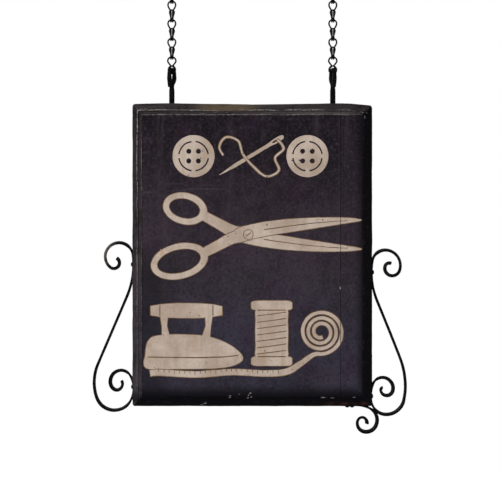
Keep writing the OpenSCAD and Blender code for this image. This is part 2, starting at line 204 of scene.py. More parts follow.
# %% [markdown]
# ## A small kit for materials
#
# Each finish on the sign is paint or metal with a history: a base colour that
# drifts, a finer grain on top, and wear where hands and weather reach. The helpers
# below keep those recipes short. Everything is driven by object coordinates, which
# are the sign's own metres, so wear can be put exactly on an arris.


# %% Node helpers
class Finish:
    """A Principled material with short calls for the nodes that feed it."""

    def __init__(self, name, rough=0.5, metal=0.0):
        self.mat = bpy.data.materials.new(name)
        self.mat.use_nodes = True
        self.n, self.l = self.mat.node_tree.nodes, self.mat.node_tree.links
        self.bsdf = self.n["Principled BSDF"]
        self.bsdf.inputs["Roughness"].default_value = rough
        self.bsdf.inputs["Metallic"].default_value = metal
        self.place = self.n.new("ShaderNodeTexCoord").outputs["Object"]

    def put(self, value, socket):
        if hasattr(value, "links"):
            self.l.new(value, socket)
        else:
            socket.default_value = value

    def math(self, kind, a, b=0.0):
        node = self.n.new("ShaderNodeMath")
        node.operation = kind
        self.put(a, node.inputs[0])
        self.put(b, node.inputs[1])
        return node.outputs[0]

    def stretched(self, sx, sy, sz, shift=(0, 0, 0)):
        node = self.n.new("ShaderNodeMapping")
        node.inputs["Scale"].default_value = (sx, sy, sz)
        node.inputs["Location"].default_value = shift
        self.l.new(self.place, node.inputs["Vector"])
        return node.outputs[0]

    def noise(self, scale, detail=4.0, rough=0.55, vector=None):
        node = self.n.new("ShaderNodeTexNoise")
        node.inputs["Scale"].default_value = scale
        node.inputs["Detail"].default_value = detail
        node.inputs["Roughness"].default_value = rough
        self.l.new(self.place if vector is None else vector, node.inputs["Vector"])
        return node.outputs["Fac"]

    def cells(self, scale):
        node = self.n.new("ShaderNodeTexVoronoi")
        node.inputs["Scale"].default_value = scale
        self.l.new(self.place, node.inputs["Vector"])
        return node.outputs["Distance"]

    def steps(self, value, low, high, to_low=0.0, to_high=1.0):
        node = self.n.new("ShaderNodeMapRange")
        node.interpolation_type = "SMOOTHSTEP"
        node.inputs["From Min"].default_value = low
        node.inputs["From Max"].default_value = high
        node.inputs["To Min"].default_value = to_low
        node.inputs["To Max"].default_value = to_high
        self.l.new(value, node.inputs["Value"])
        return node.outputs[0]

    def blend(self, share, a, b):
        node = self.n.new("ShaderNodeMix")
        node.data_type = "RGBA"
        self.put(share, node.inputs[0])
        self.put(a if hasattr(a, "links") else (*a, 1.0)[:4], node.inputs[6])
        self.put(b if hasattr(b, "links") else (*b, 1.0)[:4], node.inputs[7])
        return node.outputs[2]

    def layers(self, tint, *rows):
        """Colours laid over tint: a row is a map, where it begins and is full, its share, the colour."""
        for value, begins, full, share, colour in rows:
            tint = self.blend(self.steps(value, begins, full, 0, share), tint, colour)
        return tint

    def axis(self, which):
        if not hasattr(self, "_axes"):
            self._axes = self.n.new("ShaderNodeSeparateXYZ")
            self.l.new(self.place, self._axes.inputs[0])
        return self._axes.outputs[which]

    def colour(self, value):
        self.l.new(value, self.bsdf.inputs["Base Color"])

    def roughness(self, value, low, high):
        """Roughness from low to high as the map goes through its middle."""
        self.l.new(self.steps(value, 0.3, 0.7, low, high), self.bsdf.inputs["Roughness"])

    def gloss(self, level):
        self.bsdf.inputs["Specular IOR Level"].default_value = level

    def bump(self, height, strength, distance):
        node = self.n.new("ShaderNodeBump")
        node.inputs["Strength"].default_value = strength
        node.inputs["Distance"].default_value = distance
        self.l.new(height, node.inputs["Height"])
        if hasattr(self, "_bump"):
            self.l.new(self._bump, node.inputs["Normal"])
        self._bump = node.outputs[0]
        self.l.new(self._bump, self.bsdf.inputs["Normal"])


print("material kit ready")

# %% [markdown]
# ## Board paint
#
# The board was painted black long ago. The paint has turned a brown aubergine, is
# mottled by damp, and shows the grain of the upright planks; a painted reflection makes
# it darker at the top of the field and paler and bluer low on it. On the moulding the
# arrises are rubbed: the light line on each of them is bare or thin paint, not gloss,
# and on the top and left strips it is also a painted highlight. Every material is driven
# by where a point lies on the board, so the wear falls exactly on an arris. The top and
# left mouldings are painted paler as painted light, and the right and bottom ones, with
# the field beside them, are painted darker as painted shade.

# %% Ground colour, common to the planks and the moulding
OVOLO_W, FILLET_AT, TOP_WIDER = 9.5, 18.6, 2.6
MID_Z = (BOARD_TOP + BOARD_BOTTOM) / 2


def ground_colour(f, along=(1.0, 1.0, 0.055)):
    """Aubergine black, with a painted reflection that pales it towards the lower half; the grain is
    stretched along the wood.
    """
    up = f.axis(2)
    damp = f.noise(7.0, 5, 0.62)
    plum = f.noise(16.0, 5, 0.65, f.stretched(1.0, 1.0, 0.7, (3.1, 0.4, 1.7)))
    mottle, fine, speck = f.noise(62, 6, 0.68), f.noise(170, 5, 0.70), f.noise(240, 4, 0.72)
    grain = f.noise(48, 6, 0.62, f.stretched(*along))
    # Painted reflection: darker at the top, paler to the middle, and paler and bluer towards the bottom
    painted_reflection_downwards = f.steps(up, BOARD_TOP * MM - 0.02, MID_Z * MM)
    tint = f.layers(
        f.blend(painted_reflection_downwards, (0.0080, 0.0052, 0.0085), (0.0430, 0.0305, 0.0430)),
        (up, MID_Z * MM + 0.02, BOARD_BOTTOM * MM + 0.10, 1, (0.0400, 0.0365, 0.0570)),
        (damp, 0.62, 0.34, 0.45, (0.0060, 0.0052, 0.0062)),
        (plum, 0.46, 0.68, 0.60, (0.0300, 0.0150, 0.0300)),
        (mottle, 0.46, 0.76, 0.34, (0.0560, 0.0470, 0.0570)),
        (mottle, 0.50, 0.26, 0.40, (0.0050, 0.0042, 0.0060)),
        (fine, 0.50, 0.68, 0.50, (0.0640, 0.0540, 0.0620)),
        (fine, 0.48, 0.32, 0.55, (0.0060, 0.0045, 0.0065)),
        (grain, 0.50, 0.76, 0.50, (0.0500, 0.0400, 0.0460)),
        (speck, 0.63, 0.76, 0.55, (0.0950, 0.0780, 0.0740)),
    )
    return tint, (damp, mottle, grain, speck)


def finish_ground(f, tint, maps, gloss=0.05):
    damp, mottle, grain, speck = maps
    f.colour(tint)
    f.roughness(damp, 0.50, 0.72)
    f.gloss(gloss)
    f.bump(grain, 0.45, 0.0008)
    f.bump(mottle, 0.30, 0.0006)
    f.bump(speck, 0.25, 0.0003)
    return f.mat


# %% Paint for the planks
def both(f, *shares):
    """Where all the shares hold at once."""
    out = shares[0]
    for share in shares[1:]:
        out = f.math("MULTIPLY", out, share)
    return out


def away_from(f, value, at):
    return f.math("ABSOLUTE", f.math("SUBTRACT", value, at))


def plank_finish(name):
    f = Finish(name, rough=0.6)
    across, up = f.axis(0), f.axis(2)
    tint, maps = ground_colour(f)
    # The left side of the lower half has darkened most
    shade = both(f, f.steps(across, -0.140, -0.215), f.steps(up, -0.560, -0.680, 0, 0.6))
    tint = f.blend(shade, tint, (0.0085, 0.0078, 0.0100))
    # Painted shade beside the right and the bottom moulding
    painted_shade = f.math("MAXIMUM", f.steps(across, 0.212, 0.240), f.steps(up, -0.896, -0.924))
    tint = f.blend(f.math("MULTIPLY", painted_shade, 0.94), tint, (0.0030, 0.0026, 0.0036))
    # A dry smear, brushed across between the first two devices
    band = f.steps(away_from(f, up, -0.487), 0.020, 0.004)
    streaks = f.steps(f.noise(60, 6, 0.7, f.stretched(0.14, 1.0, 2.4)), 0.50, 0.66)
    smear = both(f, band, f.steps(across, -0.02, -0.14), streaks)
    tint = f.blend(f.math("MULTIPLY", smear, 0.6), tint, (0.085, 0.070, 0.085))
    return finish_ground(f, tint, maps)


plank_paint = plank_finish("plank_paint")
for name in ("wide_plank", "narrow_plank"):
    nodes[name].data.materials.clear()
    nodes[name].data.materials.append(plank_paint)
print("planks painted")


# %% Where the moulding is rubbed
def edge_distance(f):
    """Metres in from the nearest outer edge of the board, a little unsteady."""
    side = f.math("SUBTRACT", BOARD_HALF * MM, f.math("ABSOLUTE", f.axis(0)))
    top = f.math("SUBTRACT", (BOARD_TOP - TOP_WIDER) * MM, f.axis(2))
    bottom = f.math("SUBTRACT", f.axis(2), BOARD_BOTTOM * MM)
    inside = f.math("MINIMUM", side, f.math("MINIMUM", top, bottom))
    wander = f.steps(f.noise(35, 4, 0.6), 0.3, 0.7, -0.0008, 0.0008)
    return f.math("ADD", inside, wander), top, bottom


def close_to(f, value, at, reach):
    """1 where value is at, 0 from reach away from it."""
    return f.steps(away_from(f, value, at), reach, 0.12 * reach)


def rubbed(f, inside, wear_and_highlight_most):
    """How far each of the two arrises is worn, broken up along its length; the strength set for each strip
    adds a painted highlight where the strip faces the light.
    """
    across, up = f.axis(0), f.axis(2)
    patchy = f.noise(17, 6, 0.72)
    broken = f.steps(f.noise(170, 4, 0.7), 0.40, 0.56, 0.25, 1)
    upper = f.steps(up, -0.60, -0.86, 1.0, 0.30)
    left_corner = both(f, f.steps(across, -0.19, -0.235), f.steps(up, -0.44, -0.33))
    middle = both(f, close_to(f, across, -0.056, 0.050), f.steps(up, -0.34, -0.325))
    lines = []
    for at, reach, share, extra in (
        (OVOLO_W + 0.6, 1.7, 1.0, left_corner), (FILLET_AT + 1.6, 1.5, 0.85, middle),
    ):
        wear = f.steps(patchy, 0.36, 0.60, 0.10 * wear_and_highlight_most, wear_and_highlight_most * share)
        if wear_and_highlight_most > 0.5:
            wear = f.math("ADD", wear, f.math("MULTIPLY", extra, 0.6))
        lines.append(both(f, close_to(f, inside, at * MM, reach * MM), wear, broken, upper))
    return f.math("MINIMUM", f.math("MAXIMUM", *lines), 1.0)


# %% Paint for the moulding, one mix for each strip
def moulding_finish(name, pale, wear_and_highlight_most, bare_wood=None):
    """pale lifts the ground as painted light; wear_and_highlight_most sets how bright a worn arris gets, as
    wear and painted highlight.
    """
    f = Finish(name, rough=0.6)
    across, up = f.axis(0), f.axis(2)
    lies_flat = name.startswith(("top", "bottom"))
    tint, maps = ground_colour(f, (0.055, 1.0, 1.0) if lies_flat else (1.0, 1.0, 0.055))
    # Painted light: the top and left strips are painted paler, streaked along the grain
    if pale:
        along = f.noise(26, 6, 0.7, f.stretched(1.0, 1.0, 1.0, (0.3, 0.0, 0.9)))
        tint = f.layers(
            f.blend(pale, tint, (0.038, 0.031, 0.033)),
            (along, 0.52, 0.38, 0.75, (0.0095, 0.0080, 0.0090)),
            (maps[2], 0.50, 0.70, 0.55, (0.105, 0.088, 0.088)),
        )
    elif name.startswith("right"):
        # Painted shade: the right strip is painted dark, darkest on its outer bevel
        outer_edge = f.steps(across, 0.245, 0.232)
        tint = f.blend(0.88, tint, f.blend(outer_edge, (0.0018, 0.0016, 0.0020), (0.0105, 0.0090, 0.0115)))
    else:
        # Painted shade: the bottom strip is painted dark
        tint = f.blend(0.90, tint, (0.0020, 0.0018, 0.0022))
    inside, top, bottom = edge_distance(f)
    tint = f.blend(rubbed(f, inside, wear_and_highlight_most), tint, (0.36, 0.32, 0.30))
    # Painted shade with some dirt: a dark line in the foot of the ovolo and where the field begins, where
    # the moulding steps down
    for at, reach in ((OVOLO_W + 3.2, 1.4), (STRIP_W - 0.2, 1.0)):
        line = f.math("MULTIPLY", close_to(f, inside, at * MM, reach * MM), 0.7)
        tint = f.blend(line, tint, (0.0035, 0.0030, 0.0038))
    # Painted shade again, broken into patches, on the right end of the top strip and the foot of the left
    # one
    painted_shade = f.math("MAXIMUM", f.steps(across, 0.196, 0.244), f.steps(up, -0.885, -0.935))
    patchy_shade = f.steps(f.noise(120, 5, 0.75, f.stretched(0.7, 1.0, 1.0, (0.2, 0.0, 0.6))), 0.60, 0.50)
    tint = f.blend(f.math("MULTIPLY", both(f, painted_shade, patchy_shade), 0.88), tint, (0.0040, 0.0036, 0.0044))
    if bare_wood == "varnish":
        # Varnish rubbed to a yellow brown left of the middle
        stretch = both(f, f.steps(away_from(f, across, -0.055), 0.085, 0.030), f.steps(top, 0.016, 0.007))
        ragged = f.steps(f.noise(60, 6, 0.75, f.stretched(0.22, 1.0, 1.8)), 0.38, 0.58, 0.10, 1)
        tint = f.blend(f.math("MULTIPLY", both(f, stretch, ragged), 0.85), tint, (0.118, 0.086, 0.052))
    if bare_wood == "red_brown":
        # Red brown wood shows along the lower edge at the right
        stretch = both(f, f.steps(across, 0.10, 0.20), close_to(f, bottom, 0.006, 0.005))
        ragged = f.steps(f.noise(50, 5, 0.7), 0.40, 0.60)
        tint = f.blend(f.math("MULTIPLY", both(f, stretch, ragged), 0.6), tint, (0.045, 0.018, 0.012))
    return finish_ground(f, tint, maps, 0.05 if pale else 0.012)


# A recipe: painted light that lifts the strip, how bright its arris lines get as wear and painted
# highlight, and any bare wood; a strip without painted light gets painted shade
strip_paint = {
    name: moulding_finish(name + "_paint", *recipe)
    for name, recipe in (
        ("top_strip", (0.75, 0.95, "varnish")), ("left_strip", (0.40, 0.62)),
        ("right_strip", (0.0, 0.04)), ("bottom_strip", (0.0, 0.16, "red_brown")),
    )
}
print(len(strip_paint), "mouldings' paint mixed")

# %% [markdown]
# ## Hand-planed edge strips
#
# The four strips were moulded and fitted by hand, and a century of weather has moved
# them: the top edge rises a little at the eye bolts and sags between them, and the
# arrises are no longer dead straight. A straight CAD solid has no points to bend
# between its ends, so each strip is copied, cut across every few millimetres, and
# then every point is moved by one smooth function of its place. Neighbours share
# that function, so the mitres still meet. Noise vectors start from a seed, which is
# set first, so that every run bends the strips alike.

# %% Bend the strips
rough_noise.seed_set(3)
EDGE_RISE = (
    (-262, -0.2), (-225, 1.2), (-171, 2.0), (-120, 1.0), (-40, 0.1), (0, -0.8), (60, 0.0),
    (120, 1.0), (171, 2.1), (205, 1.4), (240, -1.7), (260, -3.0),
)
CUT_EVERY, SHARP = 7, math.radians(28)


def edge_rise(x):
    """How far the top edge has risen at x, in mm, averaged over a short stretch."""
    xs, zs = zip(*EDGE_RISE)
    return float(np.interp([x - 14, x - 7, x, x + 7, x + 14], xs, zs).mean())


def weathered(q):
    """Where a point of the moulding, in mm, has moved to."""
    depth = BOARD_TOP - q.z
    near_top = min(1.0, max(0.0, (20 - depth) / 17))
    widen = TOP_WIDER * min(1.0, depth / OVOLO_W) * min(1.0, max(0.0, (34 - depth) / 12))
    slow = rough_noise.noise_vector(q * 0.021) * 0.55
    quick = rough_noise.noise_vector(q * 0.11) * 0.22
    dent = max(0.0, rough_noise.noise(q * 0.06 + Vector((7, 3, 1))) - 0.28) * 2.0
    upright = abs(q.x) > BOARD_HALF - 22
    centre = Vector((math.copysign(BOARD_HALF - 11, q.x) if upright else q.x, 0, q.z))
    lift = Vector((0, 0, edge_rise(q.x) * near_top - widen))
    moved = q + slow + quick + lift + (centre - q) * 0.05 * dent
    moved.y -= math.copysign(min(abs(q.y), 0.55), q.y)
    return moved


def stands_for(piece, node, body):
    """The piece rides on a body and replaces a node."""
    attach(piece, body)
    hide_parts(node)


def weather_strip(name, axis):
    """A copy of a strip that runs along an axis, cut across and bent."""
    bm = bmesh.new()
    bm.from_mesh(nodes[name].data)
    low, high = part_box(name)
    start, end = low[axis], high[axis]
    along = Vector((axis == 0, 0, axis == 2))
    for k in range(1, int((end - start) / (CUT_EVERY * MM))):
        parts = bm.verts[:] + bm.edges[:] + bm.faces[:]
        at = along * (start + CUT_EVERY * MM * k)
        bmesh.ops.bisect_plane(bm, geom=parts, dist=1e-6, plane_co=at, plane_no=along)
    for v in bm.verts:
        v.co = weathered(v.co / MM) * MM
    bmesh.ops.triangulate(bm, faces=[f for f in bm.faces if len(f.verts) > 4])
    mesh = bpy.data.meshes.new(name + "_planed")
    bm.to_mesh(mesh)
    bm.free()
    mesh.materials.append(strip_paint[name])
    mesh.polygons.foreach_set("use_smooth", [True] * len(mesh.polygons))
    mesh.set_sharp_from_angle(angle=SHARP)
    stands_for(into_scene(name + "_planed", mesh), name, "board")
    print(f"{name}: {len(mesh.vertices)} points")


for name, axis in (("top_strip", 0), ("bottom_strip", 0), ("left_strip", 2), ("right_strip", 2)):
    weather_strip(name, axis)

# %% [markdown]
# ## Sweeping iron and wire
#
# Everything that hangs or curls on this sign began as a straight bar. A bar that
# is bent keeps its section and only its centre line changes, so one sweep serves
# all of it: points along the line, a frame at each point that turns no more than
# the line does, and a section set out in that frame. A skin modifier or a bevelled
# curve would also do, but a sweep in code lets the thickness, the thread and the
# hammer marks vary along the bar.


# %% Frames that roll no more than the line bends
def frames_along(points, closed):
    """Centre points with a side and an up direction at each of them, in mm."""
    p = np.array(points, float)
    if closed:
        ahead, behind = np.roll(p, -1, 0), np.roll(p, 1, 0)
    else:
        ahead = np.vstack([p[1:], 2 * p[-1:] - p[-2:-1]])
        behind = np.vstack([2 * p[:1] - p[1:2], p[:-1]])
    along = ahead - behind
    along /= np.linalg.norm(along, axis=1)[:, None]
    first = np.cross(along[0], (0.0, 0.0, 1.0))
    if np.linalg.norm(first) < 0.1:
        first = np.cross(along[0], (0.0, 1.0, 0.0))
    side = [first / np.linalg.norm(first)]
    for i in range(1, len(p)):
        s = side[-1] - along[i] * float(np.dot(side[-1], along[i]))
        side.append(s / np.linalg.norm(s))
    side = np.array(side)
    up = np.cross(along, side)
    roll = np.zeros(len(p))
    if closed:
        last = side[-1] - along[0] * float(np.dot(side[-1], along[0]))
        twist = math.atan2(float(np.dot(last, up[0])), float(np.dot(last, side[0])))
        roll = -twist * np.arange(len(p)) / len(p)
    gaps = np.linalg.norm(np.diff(p, axis=0), axis=1)
    travelled = np.concatenate([[0.0], np.cumsum(gaps)])
    return p, side, up, roll, travelled


def mesh_piece(name, verts, faces, material, smooth=True):
    """A new object from points in mm."""
    mesh = bpy.data.meshes.new(name)
    mesh.from_pydata([tuple(c * MM for c in v) for v in verts], [], faces)
    mesh.materials.append(material)
    mesh.validate()
    if smooth:
        mesh.polygons.foreach_set("use_smooth", [True] * len(mesh.polygons))
    bm = bmesh.new()
    bm.from_mesh(mesh)
    bmesh.ops.recalc_face_normals(bm, faces=bm.faces)
    bm.to_mesh(mesh)
    bm.free()
    return into_scene(name, mesh)


def joined(name, pieces, smooth=True):
    """One object made of several, which keeps the first one's material."""
    verts, faces = [], []
    material = pieces[0].data.materials[0]
    for piece in pieces:
        start = len(verts)
        verts += [tuple(v.co / MM) for v in piece.data.vertices]
        faces += [tuple(start + k for k in f.vertices) for f in piece.data.polygons]
        bpy.data.objects.remove(piece)
    return mesh_piece(name, verts, faces, material, smooth)


# %% Round bar along a line
# Both ends are rounded over a little: share of the radius, share of the setback
DOME = ((0.45, 0.0), (0.80, 0.2), (0.95, 0.5), (1.0, 1.0))


def round_bar(name, points, radius, material, sides=16, closed=False):
    """radius(distance, angle) gives the bar's radius in mm."""
    p, side, up, roll, travelled = frames_along(points, closed)
    verts, faces = [], []

    def ring(k, share=1.0, push=0.0):
        tangent = np.cross(side[k], up[k])
        for a in range(sides):
            t = 2 * math.pi * a / sides
            r = radius(travelled[k], t) * share
            spoke = math.cos(t + roll[k]) * side[k] + math.sin(t + roll[k]) * up[k]
            verts.append(tuple(p[k] + push * tangent + r * spoke))

    last = len(p) - 1
    if closed:
        for k in range(len(p)):
            ring(k)
    else:
        setback = [
            min(0.35 * radius(travelled[k], 0), 0.6 * float(np.linalg.norm(p[k] - p[n])))
            for k, n in ((0, 1), (last, last - 1))
        ]
        for share, depth in DOME:
            ring(0, share, depth * setback[0])
        for k in range(1, last):
            ring(k)
        for share, depth in reversed(DOME):
            ring(last, share, -depth * setback[1])
    count = len(verts) // sides
    for i in range(count if closed else count - 1):
        a0, b0 = i * sides, (i + 1) % count * sides
        for a in range(sides):
            b = (a + 1) % sides
            faces.append((a0 + a, a0 + b, b0 + b, b0 + a))
    if not closed:
        faces.append(tuple(reversed(range(sides))))
        faces.append(tuple(range((count - 1) * sides, count * sides)))
    return mesh_piece(name, verts, faces, material)


# %% Centre lines from bends, folds and runs
def shifted(x, y, z):
    return Matrix.Translation((x, y, z))


def turned(degrees, axis):
    return Matrix.Rotation(math.radians(degrees), 4, axis)


def walk(steps, start, spacing=0.9):
    """Frames along a bent bar: it heads along X, bends about Y and folds about Z."""
    frames, at = [start], start
    for kind, *size in steps:
        if kind == "run":
            count = max(1, math.ceil(size[0] / spacing))
            part = [shifted(size[0] * i / count, 0, 0) for i in range(1, count + 1)]
        else:
            r, a = size
            count = max(4, math.ceil(abs(math.radians(a)) * r / spacing), math.ceil(abs(a) / 10))
            turns = [a * i / count for i in range(1, count + 1)]
            if kind == "bend":
                s = 1 if a > 0 else -1
                part = [shifted(0, 0, -s * r) @ turned(t, "Y") @ shifted(0, 0, s * r) for t in turns]
            else:
                part = [shifted(0, r, 0) @ turned(t, "Z") @ shifted(0, -r, 0) for t in turns]
        frames += [at @ m for m in part]
        at = frames[-1]
    return frames


def places_of(frames):
    return [tuple(f.translation) for f in frames]


print("sweeps ready")

# %% [markdown]
# ## Iron and wire finishes
#
# The scrolls and eye bolts were painted black and have gone dull, with a brown
# bloom where the paint is thin. The chain is bare wire that has darkened evenly.
# Both finishes stay dark in a white room only if the gloss is low, so the wear
# shows in roughness and in faint colour rather than in shine.


# %% Black iron, and darkened wire
def black_iron():
    f = Finish("forged_iron", rough=0.62)
    cloud = f.noise(60, 5, 0.6)
    grit = f.noise(420, 4, 0.65)
    hammer = f.cells(95)
    tint = f.blend(f.steps(cloud, 0.42, 0.70), (0.0018, 0.0018, 0.0021), (0.0070, 0.0062, 0.0062))
    tint = f.blend(f.steps(grit, 0.62, 0.76, 0, 0.5), tint, (0.026, 0.020, 0.017))
    # The left upper curl is rubbed brown and grey on its outer side
    dx, dz = away_from(f, f.axis(0), -0.312), away_from(f, f.axis(2), -0.622)
    away = f.math("SQRT", f.math("ADD", f.math("MULTIPLY", dx, dx), f.math("MULTIPLY", dz, dz)))
    worn = both(f, f.steps(away, 0.034, 0.012), f.steps(f.noise(120, 4, 0.7), 0.34, 0.56))
    tint = f.blend(f.math("MULTIPLY", worn, 0.8), tint, (0.120, 0.100, 0.088))
    f.colour(tint)
    f.roughness(cloud, 0.52, 0.72)
    f.gloss(0.03)
    f.bump(hammer, 0.30, 0.0008)
    f.bump(grit, 0.35, 0.0003)
    return f.mat


def dark_wire():
    f = Finish("chain_wire", rough=0.50, metal=0.3)
    cloud = f.noise(140, 4, 0.6)
    grit = f.noise(900, 3, 0.6)
    tint = f.blend(f.steps(cloud, 0.40, 0.70), (0.0018, 0.0017, 0.0017), (0.0070, 0.0062, 0.0056))
    tint = f.blend(f.steps(grit, 0.60, 0.75, 0, 0.6), tint, (0.034, 0.029, 0.025))
    f.colour(tint)
    f.roughness(cloud, 0.40, 0.62)
    f.gloss(0.05)
    f.bump(grit, 0.25, 0.0002)
    return f.mat


iron_finish = black_iron()
wire_finish = dark_wire()
print("iron and wire finishes made")

# %% [markdown]
# ## Chain links
#
# A link is one loop of wire. Its round eye narrows to a neck of two wires, and the
# far end is folded under the next link's eye and back up behind. The CAD solids
# carry small swellings where pieces of that path meet, so the links are swept again
# here in one smooth run, along the same bends.

# %% Lines of the folded links
WIRE_D, DRAWN_D, PITCH = 3.3, 3.52, 39.5
RING_R, NECK_X = 8.1, 1.95
SIDE_R, SIDE_TURN, NECK_R = 11.0, 29.0, 9.0
LINK_GAP = 0.3


def sin_d(a):
    return math.sin(math.radians(a))


def cos_d(a):
    return math.cos(math.radians(a))


def folded_link_line():
    fall = RING_R - math.sqrt((RING_R - WIRE_D - LINK_GAP) ** 2 - NECK_X ** 2)
    fold_r = max(fall, WIRE_D + LINK_GAP) + 0.1
    lean = math.degrees(math.asin(fold_r / PITCH))
    side_x = RING_R - SIDE_R * (1 - cos_d(SIDE_TURN))
    slope = (side_x - NECK_X - NECK_R * (1 - cos_d(SIDE_TURN))) / sin_d(SIDE_TURN)
    tangent = math.sqrt(PITCH ** 2 - fold_r ** 2)
    front = tangent - RING_R - (SIDE_R + NECK_R) * sin_d(SIDE_TURN) - slope * cos_d(SIDE_TURN)
    end_r, end_turn, flare_r, back_lean = 4.9, 15.0, 12.0, 4.0
    flare = (end_r * cos_d(end_turn) - NECK_X - flare_r * (1 - cos_d(end_turn))) / sin_d(end_turn)
    half = [
        ("bend", RING_R, 90), ("bend", SIDE_R, SIDE_TURN), ("run", slope),
        ("bend", NECK_R, -SIDE_TURN), ("run", front), ("fold", fold_r, 180 + lean + back_lean),
        ("run", 2.8), ("bend", flare_r, -end_turn), ("run", flare), ("bend", end_r, 90 + end_turn),
    ]
    start = turned(-lean, "X")
    return places_of(walk(half + half[::-1], start))[:-1]


folded_line = folded_link_line()
print(f"a folded link has {len(folded_line)} points on its line")

# %% [markdown]
# The last link of each chain has to catch an eye bolt that is turned about its
# shank. Its ring still hangs flat like the others, but the two wires of its neck
# twist by the eye's turn before they fold. Its line is made of a ring, a fold and
# two wires between them with eased corners.

# %% Lines of the last links
EYE_ROD_D, EYE_R = 9.0, 9.0
LAST_PITCH = 27.5


def eased(a, u, b, v, ease_most=3.4):
    """Points from a, left along u, to b, reached along v."""
    a, u, b, v = (Vector(q) for q in (a, u, b, v))
    ease = min(ease_most, 0.21 * (b - a).length)
    a2, b2 = a + ease * u.normalized(), b - ease * v.normalized()
    w = (b2 - a2).normalized()
    points = []
    for corner, before, after in ((a2, u.normalized(), w), (b2, w, v.normalized())):
        for i in range(1, 8):
            t = i / 8
            p0, p2 = corner - ease * before, corner + ease * after
            points.append(tuple((1 - t) ** 2 * p0 + 2 * t * (1 - t) * corner + t * t * p2))
    return points


def last_line(turn):
    """A ring, two wires that twist by turn degrees, and a fold round the eye."""
    fold_r = EYE_R - math.sqrt((EYE_R - EYE_ROD_D / 2 - WIRE_D / 2 - LINK_GAP) ** 2 - NECK_X ** 2) + 0.4
    ring_r, side_turn, side_r, neck_x = 8.6, 37.0, 5.5, 3.1
    lean, back, tilt, run, tail = 50.0, 44.0, 4.0, 1.0, 0.6
    slope = (ring_r - neck_x - side_r * (1 - cos_d(side_turn))) / sin_d(side_turn)
    neck_z = -ring_r - side_r * sin_d(side_turn) - slope * cos_d(side_turn)
    neck = [(m * neck_x, neck_z * sin_d(tilt), neck_z * cos_d(tilt)) for m in (-1, 1)]
    inward = [
        Vector((-m * sin_d(side_turn), -cos_d(side_turn) * sin_d(tilt), -cos_d(side_turn) * cos_d(tilt)))
        for m in (-1, 1)
    ]
    tip_y = -fold_r * cos_d(lean) + run * sin_d(lean)
    tip_z = -LAST_PITCH + fold_r * sin_d(lean) + run * cos_d(lean)
    twist = turned(turn, "Z")
    tip = [twist @ Vector((m * NECK_X, tip_y, tip_z)) for m in (-1, 1)]
    tip_way = twist @ Vector((0, -sin_d(lean), -cos_d(lean)))
    ring_start = turned(-tilt, "X") @ shifted(-neck_x, 0, neck_z) @ turned(-90 - side_turn, "Y")
    half_ring = [("run", slope), ("bend", side_r, side_turn), ("bend", ring_r, 90)]
    ring = walk(half_ring + half_ring[::-1], ring_start)
    half = [("run", run), ("fold", fold_r, 180 + lean + back), ("run", tail), ("bend", NECK_X, 90)]
    fold_start = twist @ shifted(NECK_X, tip_y, tip_z) @ turned(-lean, "X") @ turned(90, "Y")
    fold = walk(half + half[::-1], fold_start)
    return (
        places_of(ring) + eased(neck[1], inward[1], tip[1], tip_way)
        + places_of(fold) + eased(tip[0], -tip_way, neck[0], -inward[0])
    )


LEFT_TURN, RIGHT_TURN = 58.0, -70.0
last_lines = {"left": last_line(LEFT_TURN), "right": last_line(RIGHT_TURN)}
print("last links:", {k: len(v) for k, v in last_lines.items()}, "points")

# %% Sweep the ten links
KINK_R, TAPER_H, EYE_RUN = 16.0, 6.0, 6.3
KINK_TURN = math.degrees(math.acos(1 - EYE_R / (2 * KINK_R)))
EYE_TOP = TAPER_H + 2 * KINK_R * sin_d(KINK_TURN) + EYE_RUN + EYE_R
HANGER_STEM = 10
RING_Z = -HANGER_STEM - EYE_TOP + EYE_ROD_D / 2 + WIRE_D / 2 + LINK_GAP

for side_name, side_x in (("left", -HANG_X), ("right", HANG_X)):
    for i in range(1, 6):
        line = folded_line if i < 5 else last_lines[side_name]
        hang = Vector((side_x, 0, RING_Z - (i - 1) * PITCH))
        node_name = f"{side_name}_link_{i}"
        link = round_bar(
            "wire_" + node_name, [tuple(Vector(q) + hang) for q in line],
            lambda d, t: DRAWN_D / 2, wire_finish, sides=14, closed=True,
        )
        stands_for(link, node_name, node_name)
print("ten links, ring of the first at z", round(RING_Z, 3))

# %% [markdown]
# ## Eye bolts
#
# An eye bolt starts as a stout round rod. The smith draws one end down, kicks it
# aside, bends it over and lets the end hang, so that a chain can be slipped in from
# below. The shank is cut with a thread. All of that is one line with a radius that
# changes along it, so one sweep makes it, and the thread is a ripple of the radius
# that climbs as it goes round.


# %% One eye bolt
EYE_END, LEG_MORE = 1.2, 0.55
CLOSING_R, CLOSING, FIRST_LEG = 60.0, 3.0, 4.0
THREAD_PITCH, THREAD_DEPTH, SLICE = 2.0, 0.95, 0.27
POINT, RUN_OUT, STEM_MORE, THIN_END, WORN = 8, 6, 0.35, 16, 0.06


